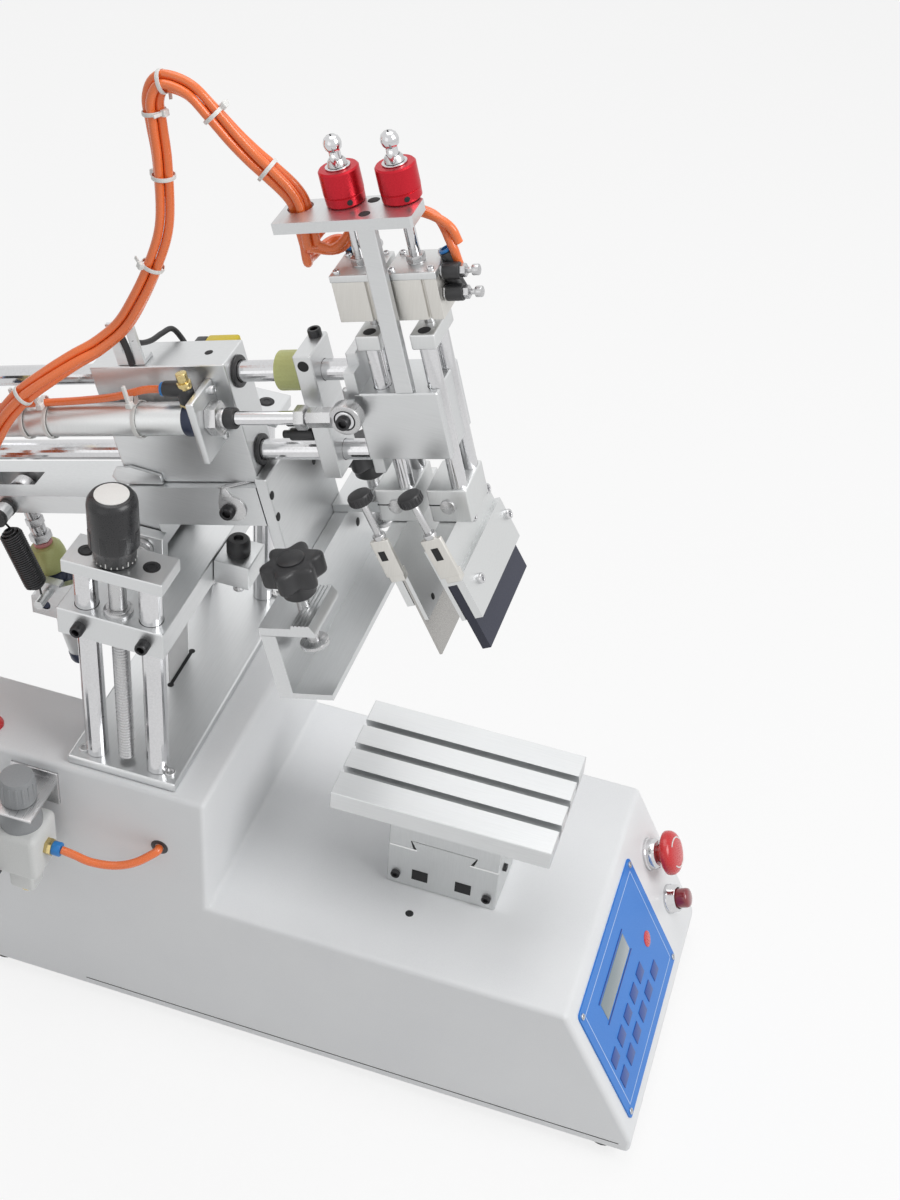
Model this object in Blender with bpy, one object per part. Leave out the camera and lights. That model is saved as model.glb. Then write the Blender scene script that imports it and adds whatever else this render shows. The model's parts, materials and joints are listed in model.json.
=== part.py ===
"""Desktop screen printing machine with a rocking, sliding print arm.

The front control slope faces -Y, the print arm runs back along +Y and rocks
about a pin along X. Metres, +Z up, feet on the ground at z = 0.
"""
import math

import bmesh
import bpy
from mathutils import Matrix, Vector

GAP = 0.0003
RUN = 0.0004

CABINET_WIDTH = 0.270
CABINET_LENGTH = 0.650
FRONT_LIP = 0.016
SLOPE_RUN = 0.072
LOW_DECK = 0.1535
STEP_Y = 0.382
HIGH_DECK = 0.2785
WELL_Y = 0.508
STRIP_WIDTH = 0.079
CABINET_EDGE = 0.004
FOOT_HEIGHT = 0.012
FOOT_RADIUS = 0.013
FOOT_INSET = 0.020
REGULATOR_REACH = 0.063

PANEL_THICKNESS = 0.0015
PANEL_X = (-CABINET_WIDTH / 2 + 0.0145, CABINET_WIDTH / 2 - 0.073)
PANEL_S = (0.0125, 0.1395)
STOP_BUTTON_X = CABINET_WIDTH / 2 - 0.036
STOP_BUTTON_S = 0.106
LAMP_X = CABINET_WIDTH / 2 - 0.037
LAMP_S = 0.050

DECK_PLATE_X = CABINET_WIDTH / 2 - 0.006
DECK_PLATE_Y = (0.409, 0.503)
DECK_PLATE_THICKNESS = 0.008
POST_X = DECK_PLATE_X - 0.015
POST_Y = (0.430, 0.483)
POST_RADIUS = 0.0092
BRIDGE_Z = 0.484
BRIDGE_THICKNESS = 0.0115
BRIDGE_WIDTH = 0.034
BRIDGE_OVERHANG = 0.0105
SCREW_Y = 0.457
SCREW_RADIUS = 0.0068
DIAL_RADIUS = 0.0191
DIAL_HEIGHT = 0.0587

LIFT_X = POST_X + 0.014
LIFT_Y = (0.415, 0.502)
LIFT_Z = 0.419
LIFT_THICKNESS = 0.025
NUT_RADIUS = 0.0090
NUT_HEIGHT = 0.0045

ARM_TILT = math.radians(15.7)
ARM_CENTRE = -0.020
PIVOT_Y = 0.4623
PIVOT_Z = 0.4599
PIN_RADIUS = 0.006
CHEEK_THICKNESS = 0.010
ARM_HALF = 0.025
ARM_FRONT = -0.105
ARM_TOP = 0.048
ARM_FRONT_BOTTOM = 0.014
ARM_REAR = 0.178
ARM_REAR_TOP = 0.039
ARM_REAR_BOTTOM = 0.023
LEG_Y = 0.013
LEG_BOTTOM = -0.012
FORK_SLOT_Y = (0.098, 0.140)
FORK_SLOT_HALF = 0.009
FORK_PIN_Y = 0.118
FORK_PIN_Z = 0.029
FORK_PIN_RADIUS = 0.004

FRONT_PLATE_THICKNESS = 0.010
FRONT_PLATE_FAR = 0.060
FRONT_PLATE_BOTTOM = -0.079
FRONT_PLATE_TOP = 0.055
BAR_NEAR = -0.116
BAR_FAR = 0.092
BAR_TOP = -0.034
BAR_BOTTOM = -0.093
BAR_THICKNESS = 0.012
BAR_FLANGE = 0.032
BAR_FLANGE_THICKNESS = 0.005
CLAMP_LENGTH = 0.050
CLAMP_THICKNESS = 0.007
CLAMP_STUD_RADIUS = 0.005
CLAMP_KNOB_RADIUS = 0.024
CLAMP_KNOB_Z = (0.0, 0.018)

CARRIAGE_HALF = 0.018
CARRIAGE_Y = (-0.1045, 0.006)
CARRIAGE_HEIGHT = 0.101
CLIP_Y = (-0.040, -0.018)
ROD_RADIUS = 0.0078
ROD_Z = (0.066, 0.133)
ROD_REAR = 0.150
REAR_CLAMP_Y = (0.135, 0.147)
FRONT_CLAMP_Y = (-0.173, -0.159)
BUMPER_LENGTH = 0.020
BUMPER_RADIUS = 0.0145

DRIVE_X = -0.055
DRIVE_Z = 0.115
DRIVE_RADIUS = 0.013
DRIVE_REAR = 0.098
DRIVE_ROD_RADIUS = 0.005
DRIVE_ROD_Y = (-0.182, 0.060)
DRIVE_BRACKET_Y = (-0.092, -0.086)
DRIVE_BRACKET_Z = (0.088, 0.138)
DRIVE_BRACKET_NEAR = -0.074
ROD_EYE_Y = -0.198
ROD_EYE_RADIUS = 0.012

HEAD_X = (-0.045, 0.003)
HEAD_Y = (-0.264, -0.202)
HEAD_Z = (0.073, 0.127)
BOSS_Y = (-0.2065, -0.198)
YOKE_Y = (-0.220, -0.260)
YOKE_HALF_WIDTH = 0.009
YOKE_HALF_SPAN = 0.020
YOKE_Z = (0.158, 0.1695)
YOKE_POST_X = 0.013
YOKE_POST_RADIUS = 0.006
JACK_BOTTOM = 0.179
JACK_HEIGHT = 0.0355
PISTON_ROD_RADIUS = 0.004
JACK_HALF = 0.017
JACK_HALF_Y = 0.0182
TOP_PLATE_Z = 0.252
TOP_PLATE_THICKNESS = 0.008
TOP_PLATE_X = (-0.048, -0.013)
TOP_PLATE_Y = (-0.275, -0.176)
TOP_PLATE_CHAMFER = (0.009, 0.012)
STEM_RADIUS = 0.004
STEM_REACH = 0.047
ADJUSTER_RADIUS = 0.0138
ADJUSTER_HEIGHT = 0.0247
UPRIGHT_X = (-0.045, -0.0383)
UPRIGHT_Y = (-0.2465, -0.2335)

GRIP_Z = (0.016, 0.0435)
GRIP_HALF = 0.020
GRIP_REACH = (-0.0070, 0.0235)
SQUEEGEE_X = (-0.076, 0.024)
BLADE_X = (-0.072, 0.032)
SQUEEGEE_TILT = math.radians(15.0)
FLOOD_TILT = math.radians(12.0)

TABLE_X = -0.020
TABLE_Y = 0.204
TABLE_WIDTH = 0.115
TABLE_LENGTH = 0.185
TABLE_TOP = 0.272
TABLE_THICKNESS = 0.018
SLOT_WIDTH = 0.007
SLOT_DEPTH = 0.011
TEE_WIDTH = 0.013
TEE_DEPTH = 0.006
SLIDE_HALF_X = 0.030
SLIDE_HALF_Y = 0.048
SLIDE_JOINT_Z = 0.200

LUG_X = -0.020
LUG_Y = 0.558
LUG_Z = 0.363
ROCK_RADIUS = 0.013
ROCK_LENGTH = 0.075
ROCK_ROD_RADIUS = 0.005

HOSE_RADIUS = 0.0085
HOSE_X = -0.0245
HOSE_Y = -0.1885
SMALL_HOSE_RADIUS = 0.0035

REGULATOR_Y = 0.530
REGULATOR_HALF = 0.021
REGULATOR_X = (0.008, 0.050)
REGULATOR_LOW = 0.188
REGULATOR_TOP = 0.236
REGULATOR_SHELF = 0.260
REGULATOR_PORT = 0.213
SHELF_THICKNESS = 0.0025
BONNET_RADIUS = 0.0165
KNOB_RADIUS = 0.0150
KNOB_HEIGHT = 0.0252
GAUGE_RADIUS = 0.0130
GAUGE_DROP = 0.012
GAUGE_SETBACK = 0.032
GAUGE_DEPTH = 0.029
HOSE_HOLE_Y = 0.422
HOSE_HOLE_Z = 0.216

PAINT = (0.80, 0.81, 0.82)
ALUMINIUM = (0.72, 0.72, 0.72)
STEEL = (0.60, 0.60, 0.61)
BLACK = (0.03, 0.03, 0.03)
RED = (0.65, 0.03, 0.04)
BLUE = (0.03, 0.24, 0.70)
AMBER = (0.70, 0.72, 0.36)
NAVY = (0.03, 0.05, 0.12)
ORANGE = (0.95, 0.25, 0.08)
GREY = (0.45, 0.46, 0.47)


def clear_scene():
    for item in list(bpy.data.objects):
        bpy.data.objects.remove(item)


def material(name, color, metallic=0.0, roughness=0.45):
    found = bpy.data.materials.get(name)
    if found:
        return found
    made = bpy.data.materials.new(name)
    made.use_nodes = True
    shader = made.node_tree.nodes["Principled BSDF"]
    shader.inputs["Base Color"].default_value = (*color, 1.0)
    shader.inputs["Metallic"].default_value = metallic
    shader.inputs["Roughness"].default_value = roughness
    return made


def frame(name, location, parent=None, tilt=0.0):
    """An empty that carries pieces; tilt turns it about X."""
    empty = bpy.data.objects.new(name, None)
    bpy.context.collection.objects.link(empty)
    empty.parent = parent
    empty.location = location
    empty.rotation_euler = (tilt, 0.0, 0.0)
    return empty


def box(x, y, z, edge=0.0, segments=2):
    """A block between the low and high values of x, y and z."""
    bm = bmesh.new()
    size = Vector((x[1] - x[0], y[1] - y[0], z[1] - z[0]))
    middle = Vector((x[1] + x[0], y[1] + y[0], z[1] + z[0])) / 2
    bmesh.ops.create_cube(bm, size=1.0, matrix=Matrix.Translation(middle) @ Matrix.Diagonal((*size, 1.0)))
    if edge:
        bmesh.ops.bevel(bm, geom=bm.edges[:], offset=edge, segments=segments,
                        profile=0.5, affect="EDGES", clamp_overlap=True)
    return bm


def axis_matrix(axis):
    turns = {"X": Matrix.Rotation(math.pi / 2, 4, "Y"), "Y": Matrix.Rotation(-math.pi / 2, 4, "X"),
             "Z": Matrix.Identity(4)}
    return turns[axis]


def cylinder(axis, centre, low, high, radius, sides=24, top_radius=None):
    """A round bar along an axis; centre gives the other two coordinates."""
    bm = bmesh.new()
    bmesh.ops.create_cone(bm, cap_ends=True, segments=sides, radius1=radius,
                          radius2=radius if top_radius is None else top_radius, depth=high - low)
    middle = (low + high) / 2
    places = {"X": (middle, *centre), "Y": (centre[0], middle, centre[1]), "Z": (*centre, middle)}
    bmesh.ops.transform(bm, matrix=Matrix.Translation(places[axis]) @ axis_matrix(axis), verts=bm.verts)
    return bm


def prism_x(outline, x):
    """An outline of (y, z) points drawn out along X."""
    bm = bmesh.new()
    face = bm.faces.new([bm.verts.new((x[0], y, z)) for y, z in outline])
    drawn = bmesh.ops.extrude_face_region(bm, geom=[face])
    moved = [v for v in drawn["geom"] if isinstance(v, bmesh.types.BMVert)]
    bmesh.ops.translate(bm, vec=(x[1] - x[0], 0.0, 0.0), verts=moved)
    bmesh.ops.recalc_face_normals(bm, faces=bm.faces)
    return bm


def prism_y(outline, y):
    """An outline of (x, z) points drawn out along Y."""
    bm = bmesh.new()
    face = bm.faces.new([bm.verts.new((x, y[0], z)) for x, z in outline])
    drawn = bmesh.ops.extrude_face_region(bm, geom=[face])
    moved = [v for v in drawn["geom"] if isinstance(v, bmesh.types.BMVert)]
    bmesh.ops.translate(bm, vec=(0.0, y[1] - y[0], 0.0), verts=moved)
    bmesh.ops.recalc_face_normals(bm, faces=bm.faces)
    return bm


def prism_z(outline, z):
    """An outline of (x, y) points drawn out along Z."""
    bm = bmesh.new()
    face = bm.faces.new([bm.verts.new((x, y, z[0])) for x, y in outline])
    drawn = bmesh.ops.extrude_face_region(bm, geom=[face])
    moved = [v for v in drawn["geom"] if isinstance(v, bmesh.types.BMVert)]
    bmesh.ops.translate(bm, vec=(0.0, 0.0, z[1] - z[0]), verts=moved)
    bmesh.ops.recalc_face_normals(bm, faces=bm.faces)
    return bm


def turned(profile, sides=32):
    """A solid turned about Z from (radius, z) points, both ends on the axis."""
    bm = bmesh.new()
    verts = [bm.verts.new((r, 0.0, z)) for r, z in profile]
    edges = [bm.edges.new(pair) for pair in zip(verts, verts[1:])]
    bmesh.ops.spin(bm, geom=verts + edges, cent=(0, 0, 0), axis=(0, 0, 1), angle=2 * math.pi,
                   steps=sides, use_merge=True)
    bmesh.ops.remove_doubles(bm, verts=bm.verts, dist=0.00001)
    bmesh.ops.recalc_face_normals(bm, faces=bm.faces)
    return bm


def moved(bm, offset):
    bmesh.ops.translate(bm, vec=offset, verts=bm.verts)
    return bm


def link(name, bm, carrier):
    mesh = bpy.data.meshes.new(name)
    bm.to_mesh(mesh)
    bm.free()
    piece = bpy.data.objects.new(name, mesh)
    bpy.context.collection.objects.link(piece)
    piece.parent = carrier
    return piece


def combine(piece, bm, operation, count):
    """Adds a hidden helper to a piece's Boolean stack."""
    helper = link(f"helper_{piece.name}_{count}", bm, piece.parent)
    helper.location = piece.location
    helper.display_type = "WIRE"
    helper.hide_render = True
    step = piece.modifiers.new(f"{operation.lower()}_{count}", "BOOLEAN")
    step.operation = operation
    step.solver = "EXACT"
    step.object = helper


def solid(name, carrier, finish, base, add=(), cut=(), location=(0.0, 0.0, 0.0)):
    """One named piece from a base shape, shapes joined to it and shapes cut from it."""
    piece = link(name, base, carrier)
    piece.location = location
    piece.data.materials.append(finish)
    piece.data.shade_smooth()
    piece.data.set_sharp_from_angle(angle=math.radians(35))
    for count, bm in enumerate(add):
        combine(piece, bm, "UNION", count)
    for count, bm in enumerate(cut):
        combine(piece, bm, "DIFFERENCE", len(add) + count)
    return piece


def hose(name, carrier, finish, route, radius, points):
    """A tube on a POLY spline read from a smooth curve through the route."""
    curve = bpy.data.curves.new(name, "CURVE")
    curve.dimensions = "3D"
    curve.bevel_depth = radius
    curve.bevel_resolution = 2
    curve.use_fill_caps = True
    smooth = smooth_points([Vector(p) for p in route], points)
    spline = curve.splines.new("POLY")
    spline.points.add(len(smooth) - 1)
    for target, place in zip(spline.points, smooth):
        target.co = (*place, 1.0)
    tube = bpy.data.objects.new(name, curve)
    bpy.context.collection.objects.link(tube)
    tube.parent = carrier
    curve.materials.append(finish)
    return tube


def smooth_points(route, count):
    """Evenly numbered points on a Catmull-Rom curve through the route."""
    ends = [route[0] * 2 - route[1]] + route + [route[-1] * 2 - route[-2]]
    spans = len(route) - 1
    result = []
    for index in range(count):
        place = index / (count - 1) * spans
        span = min(int(place), spans - 1)
        t = place - span
        a, b, c, d = ends[span:span + 4]
        result.append(0.5 * (2 * b + (c - a) * t + (2 * a - 5 * b + 4 * c - d) * t * t
                             + (3 * b - a - 3 * c + d) * t ** 3))
    return result


def build_cabinet(machine, paint):
    half = CABINET_WIDTH / 2
    side = [(0.0, 0.0), (0.0, FRONT_LIP), (SLOPE_RUN, LOW_DECK), (STEP_Y, LOW_DECK),
            (STEP_Y, HIGH_DECK), (CABINET_LENGTH, HIGH_DECK), (CABINET_LENGTH, 0.0)]
    well = box((STRIP_WIDTH - half, half + 0.05), (WELL_Y, CABINET_LENGTH + 0.05), (-0.05, HIGH_DECK + 0.05))
    body = solid("cabinet", machine, paint, prism_x(side, (-half, half)), cut=[well])
    soften = body.modifiers.new("edge", "BEVEL")
    soften.width = CABINET_EDGE
    soften.segments = 3
    soften.limit_method = "ANGLE"
    soften.angle_limit = math.radians(25)
    low = FOOT_INSET
    places = [(-half + low, low + 0.005), (half - low, low + 0.005), (half - low, WELL_Y - low),
              (-half + low, CABINET_LENGTH - 0.060)]
    for count, (x, y) in enumerate(places):
        foot = turned([(0.0, -FOOT_HEIGHT), (FOOT_RADIUS * 0.85, -FOOT_HEIGHT), (FOOT_RADIUS, -FOOT_HEIGHT * 0.75),
                       (FOOT_RADIUS, 0.002), (0.0, 0.002)], 20)
        combine(body, moved(foot, (x, y, 0.0)), "UNION", count + 1)


def build_controls(machine, blue, chrome, red, lens):
    angle = math.atan2(LOW_DECK - FRONT_LIP, SLOPE_RUN)
    slope = frame("slope_frame", (0.0, 0.0, FRONT_LIP), machine, angle)
    solid("control_panel", slope, blue, box(PANEL_X, PANEL_S, (GAP, PANEL_THICKNESS), 0.0004, 1))
    collar = turned([(0.0, GAP), (0.0150, GAP), (0.0145, 0.009), (0.0120, 0.011), (0.0, 0.011)])
    bore = cylinder("Z", (0.0, 0.0), 0.003, 0.020, 0.0080)
    place = (STOP_BUTTON_X, STOP_BUTTON_S, 0.0)
    solid("stop_button_collar", slope, chrome, collar, cut=[bore], location=place)
    push = frame("stop_button_frame", place, slope)
    cap = turned([(0.0, 0.0094), (0.0074, 0.0094), (0.0074, 0.0175), (0.0195, 0.0180), (0.0200, 0.0220),
                  (0.0175, 0.0265), (0.0, 0.0290)])
    solid("stop_button", push, red, cap)
    place = (LAMP_X, LAMP_S, 0.0)
    bezel = turned([(0.0, GAP), (0.0135, GAP), (0.0135, 0.004), (0.0120, 0.010), (0.0, 0.010)])
    bore = cylinder("Z", (0.0, 0.0), 0.003, 0.020, 0.0098)
    solid("lamp_bezel", slope, chrome, bezel, cut=[bore], location=place)
    push = frame("lamp_frame", place, slope)
    cap = turned([(0.0, 0.0074), (0.0090, 0.0074), (0.0090, 0.0190), (0.0075, 0.0205), (0.0, 0.0210)])
    solid("lamp_button", push, lens, cap)


def tee_slot(x, y):
    """Upright slot and its wider foot, as an outline of (x, z) points drawn along Y."""
    narrow = SLOT_WIDTH / 2
    wide = TEE_WIDTH / 2
    top = TABLE_TOP + 0.01
    shoulder = TABLE_TOP - SLOT_DEPTH + TEE_DEPTH
    floor = TABLE_TOP - SLOT_DEPTH
    outline = [(x - narrow, top), (x - narrow, shoulder), (x - wide, shoulder), (x - wide, floor),
               (x + wide, floor), (x + wide, shoulder), (x + narrow, shoulder), (x + narrow, top)]
    return prism_y(outline, y)


def build_table(machine, aluminium, steel):
    y = (TABLE_Y - SLIDE_HALF_Y, TABLE_Y + SLIDE_HALF_Y)
    x = (TABLE_X - SLIDE_HALF_X, TABLE_X + SLIDE_HALF_X)
    rail_top = SLIDE_JOINT_Z + 0.010
    rail = [(y[0] + 0.026, SLIDE_JOINT_Z - 0.002), (y[0] + 0.020, rail_top),
            (y[1] - 0.020, rail_top), (y[1] - 0.026, SLIDE_JOINT_Z - 0.002)]
    solid("slide_base", machine, steel, box(x, y, (LOW_DECK + GAP, SLIDE_JOINT_Z), 0.0008, 1),
          add=[prism_x(rail, x)])
    ride = frame("table_frame", (TABLE_X, TABLE_Y, SLIDE_JOINT_Z), machine)
    top = TABLE_TOP - SLIDE_JOINT_Z
    reach = SLIDE_HALF_Y
    groove = [(-reach + 0.026 - 0.0012, -0.01), (-reach + 0.020 - 0.0012, 0.0105),
              (reach - 0.020 + 0.0012, 0.0105), (reach - 0.026 + 0.0012, -0.01)]
    upper = box((-SLIDE_HALF_X, SLIDE_HALF_X), (-reach, reach), (GAP, top - TABLE_THICKNESS - GAP), 0.0008, 1)
    solid("slide_carriage", ride, steel, upper, cut=[prism_x(groove, (-0.1, 0.1))])
    half = TABLE_WIDTH / 2
    length = TABLE_LENGTH / 2
    plate = box((TABLE_X - half, TABLE_X + half), (TABLE_Y - length, TABLE_Y + length),
                (TABLE_TOP - TABLE_THICKNESS, TABLE_TOP), 0.0006, 1)
    pitch = TABLE_WIDTH / 4
    slots = [tee_slot(TABLE_X + pitch * step, (TABLE_Y - length - 0.01, TABLE_Y + length + 0.01))
             for step in (-1, 0, 1)]
    table = solid("slot_table", ride, aluminium, plate, cut=slots)
    shift = (-TABLE_X, -TABLE_Y, -SLIDE_JOINT_Z)
    table.location = shift
    for step in table.modifiers:
        step.object.location = shift


def build_lift_guides(machine, aluminium, chrome, black):
    top = HIGH_DECK + GAP + DECK_PLATE_THICKNESS
    plate = box((-DECK_PLATE_X, DECK_PLATE_X), DECK_PLATE_Y, (HIGH_DECK + GAP, top), 0.0015, 2)
    solid("deck_plate", machine, aluminium, plate)
    for side, x in (("near", -POST_X), ("far", POST_X)):
        for end, y in zip(("front", "rear"), POST_Y):
            post = cylinder("Z", (x, y), top + GAP, BRIDGE_Z - GAP, POST_RADIUS)
            solid(f"{side}_{end}_post", machine, chrome, post)
        y = (POST_Y[0] - POST_RADIUS - 0.008, POST_Y[1] + BRIDGE_OVERHANG)
        bridge = box((x - BRIDGE_WIDTH / 2, x + BRIDGE_WIDTH / 2), y, (BRIDGE_Z, BRIDGE_Z + BRIDGE_THICKNESS), 0.0007, 1)
        bore = cylinder("Z", (x, SCREW_Y), BRIDGE_Z - 0.01, BRIDGE_Z + 0.03, SCREW_RADIUS + RUN)
        solid(f"{side}_bridge", machine, aluminium, bridge, cut=[bore] if side == "near" else [])
    turn = frame("dial_frame", (-POST_X, SCREW_Y, 0.0), machine)
    low = top + 0.005
    seat = BRIDGE_Z + BRIDGE_THICKNESS + GAP
    high = seat + DIAL_HEIGHT
    dial = turned([(0.0, low), (SCREW_RADIUS, low), (SCREW_RADIUS, seat), (0.0155, seat),
                   (0.0172, seat + 0.007), (DIAL_RADIUS, seat + 0.013), (DIAL_RADIUS, high - 0.010),
                   (DIAL_RADIUS - 0.003, high - 0.0025), (0.0140, high), (0.0, high)])
    solid("height_dial", turn, black, dial)


def build_lift(machine, aluminium):
    lift = frame("lift_frame", (0.0, 0.0, 0.0), machine)
    z = (LIFT_Z, LIFT_Z + LIFT_THICKNESS)
    holes = [cylinder("Z", (x, y), LIFT_Z - 0.01, z[1] + 0.01, POST_RADIUS + RUN)
             for x in (-POST_X, POST_X) for y in POST_Y]
    holes.append(cylinder("Z", (-POST_X, SCREW_Y), LIFT_Z - 0.01, z[1] + 0.01, SCREW_RADIUS + RUN))
    nut = cylinder("Z", (-POST_X, SCREW_Y), z[1] - 0.002, z[1] + NUT_HEIGHT, NUT_RADIUS)
    solid("lift_plate", lift, aluminium, box((-LIFT_X, LIFT_X), LIFT_Y, z, 0.0008, 1), add=[nut], cut=holes)
    block = box((ARM_CENTRE - 0.012, ARM_CENTRE + 0.022), (LIFT_Y[0] - 0.030, LIFT_Y[0] - GAP),
                (LIFT_Z + 0.002, z[1] - 0.001), 0.0006, 1)
    place = (ARM_CENTRE + 0.004, LIFT_Y[0] - 0.015)
    bumper = turned([(0.0, LIFT_Z - 0.013), (0.0055, LIFT_Z - 0.013), (0.0055, z[1] - 0.003),
                     (0.0090, z[1] - 0.0005), (0.0095, z[1] + 0.010), (0.0078, z[1] + 0.0138),
                     (0.0, z[1] + 0.0138)], 20)
    solid("stop_block", lift, aluminium, block, add=[moved(bumper, (*place, 0.0))])
    inner = ARM_HALF + 0.0010
    outer = inner + CHEEK_THICKNESS
    cheeks = [box((ARM_CENTRE + low, ARM_CENTRE + high), (PIVOT_Y - 0.016, PIVOT_Y + 0.016),
                  (z[1] + GAP, PIVOT_Z + 0.012), 0.0006, 1) for low, high in ((-outer, -inner), (inner, outer))]
    reach = outer + 0.0035
    pin = cylinder("X", (PIVOT_Y, PIVOT_Z), ARM_CENTRE - reach, ARM_CENTRE + reach, PIN_RADIUS)
    solid("pivot_bracket", lift, aluminium, cheeks[0], add=[pin, cheeks[1]])
    build_rocker_bracket(lift, aluminium)
    return lift


def build_rocker_bracket(lift, aluminium):
    """The arm below the lift plate that carries the rocking cylinder and the spring's lower end."""
    side = [(LIFT_Y[1] - 0.030, LIFT_Z - GAP), (LIFT_Y[1] - 0.030, LIFT_Z - 0.030), (LUG_Y - 0.020, LUG_Z - 0.008),
            (LUG_Y - 0.010, LUG_Z - 0.012), (LUG_Y + 0.012, LUG_Z - 0.012), (LUG_Y + 0.012, LUG_Z + 0.006),
            (LIFT_Y[1] + 0.010, LIFT_Z - 0.014), (LIFT_Y[1] - 0.001, LIFT_Z - GAP)]
    plates = [prism_x(side, (LUG_X + sign * 0.0225 - 0.004, LUG_X + sign * 0.0225 + 0.004)) for sign in (-1, 1)]
    web = box((LUG_X - 0.022, LUG_X + 0.022), (LIFT_Y[1] - 0.029, LIFT_Y[1] - 0.019),
              (LIFT_Z - 0.028, LIFT_Z - GAP - 0.0001))
    spring_post = cylinder("X", (LUG_Y - 0.005, LUG_Z + 0.016), LUG_X - 0.046, LUG_X - 0.020, 0.004)
    foot = prism_x([(LUG_Y - 0.016, LUG_Z - 0.004), (LUG_Y - 0.014, LUG_Z + 0.024), (LUG_Y + 0.004, LUG_Z + 0.024),
                    (LUG_Y + 0.011, LUG_Z - 0.004)], (LUG_X - 0.0265, LUG_X - 0.0185))
    bores = [cylinder("X", (LUG_Y, LUG_Z), LUG_X - 0.1, LUG_X + 0.1, 0.0050)]
    solid("rocker_bracket", lift, aluminium, plates[0], add=[web, plates[1], foot, spring_post], cut=bores)


def build_arm(lift, aluminium, black):
    """The rocking arm's frame sits on the pivot; its Y axis runs back along the arm."""
    arm = frame("arm_frame", (0.0, PIVOT_Y, PIVOT_Z), lift, -ARM_TILT)
    x = (ARM_CENTRE - ARM_HALF, ARM_CENTRE + ARM_HALF)
    front = ARM_FRONT + GAP
    side = [(front, ARM_FRONT_BOTTOM), (front, ARM_TOP), (0.004, ARM_TOP), (0.010, ARM_REAR_TOP),
            (ARM_REAR, ARM_REAR_TOP), (ARM_REAR, ARM_REAR_BOTTOM), (0.024, ARM_REAR_BOTTOM),
            (LEG_Y, 0.010), (LEG_Y, LEG_BOTTOM + 0.006), (LEG_Y - 0.006, LEG_BOTTOM), (-LEG_Y + 0.006, LEG_BOTTOM),
            (-LEG_Y, LEG_BOTTOM + 0.006), (-LEG_Y, ARM_FRONT_BOTTOM)]
    slot = box((ARM_CENTRE - FORK_SLOT_HALF, ARM_CENTRE + FORK_SLOT_HALF), FORK_SLOT_Y, (-0.05, 0.1))
    bore = cylinder("X", (0.0, 0.0), x[0] - 0.01, x[1] + 0.01, PIN_RADIUS + RUN)
    body = solid("rocker_arm", arm, aluminium, prism_x(side, x), cut=[slot, bore])
    pin = cylinder("X", (FORK_PIN_Y, FORK_PIN_Z), ARM_CENTRE - FORK_SLOT_HALF - 0.002,
                   ARM_CENTRE + FORK_SLOT_HALF + 0.002, FORK_PIN_RADIUS, 16)
    combine(body, pin, "UNION", 2)
    head = cylinder("X", (FORK_PIN_Y, FORK_PIN_Z), x[0] - 0.018, x[0] + 0.002, 0.0072, 16)
    combine(body, head, "UNION", 3)
    y = (ARM_FRONT - FRONT_PLATE_THICKNESS, ARM_FRONT)
    plate = box((x[0], FRONT_PLATE_FAR), y, (FRONT_PLATE_BOTTOM, FRONT_PLATE_TOP), 0.0008, 1)
    solid("front_plate", arm, aluminium, plate)
    build_screen_bar(arm, y[0] - GAP, aluminium, black)
    build_carriage(arm, aluminium)
    return arm


def star_outline(radius, lobes=6, steps=8):
    """A hand knob's outline with rounded lobes, as (x, y) points."""
    points = []
    for index in range(lobes * steps):
        angle = 2 * math.pi * index / (lobes * steps)
        reach = radius * (0.88 + 0.12 * math.cos(lobes * angle))
        points.append((reach * math.cos(angle), reach * math.sin(angle)))
    return points


def build_screen_bar(arm, rear, aluminium, black):
    front = rear - BAR_THICKNESS
    lip = front - BAR_FLANGE
    section = [(rear, BAR_TOP), (rear, BAR_BOTTOM), (lip, BAR_BOTTOM), (lip, BAR_BOTTOM + BAR_FLANGE_THICKNESS),
               (front, BAR_BOTTOM + BAR_FLANGE_THICKNESS), (front, BAR_TOP)]
    solid("screen_bar", arm, aluminium, prism_x(section, (BAR_NEAR, BAR_FAR)))
    low = BAR_TOP + GAP
    high = low + CLAMP_THICKNESS
    stud_y = front - 0.016
    for side, x in (("near", (BAR_NEAR, BAR_NEAR + CLAMP_LENGTH)), ("far", (BAR_FAR - CLAMP_LENGTH, BAR_FAR))):
        middle = (x[0] + x[1]) / 2
        ledge = [(rear, low), (lip, low), (lip, high - 0.003), (lip + 0.004, high), (lip + 0.010, high + 0.003),
                 (lip + 0.015, high + 0.003), (lip + 0.017, high), (rear, high)]
        bore = cylinder("Z", (middle, stud_y), low - 0.01, high + 0.02, CLAMP_STUD_RADIUS + RUN)
        solid(f"{side}_clamp_bar", arm, aluminium, prism_x(ledge, x), cut=[bore])
        turn = frame(f"{side}_clamp_frame", (middle, stud_y, 0.0), arm)
        foot = -0.060
        low_knob, high_knob = CLAMP_KNOB_Z
        stud = turned([(0.0, foot), (0.011, foot), (0.011, foot + 0.004), (CLAMP_STUD_RADIUS, foot + 0.005),
                       (CLAMP_STUD_RADIUS, low_knob - 0.013), (0.013, low_knob - 0.013),
                       (0.013, low_knob + 0.001), (0.0, low_knob + 0.001)], 20)
        star = prism_z(star_outline(CLAMP_KNOB_RADIUS), (low_knob, high_knob))
        solid(f"{side}_clamp_knob", turn, black, stud, add=[star])


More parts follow.
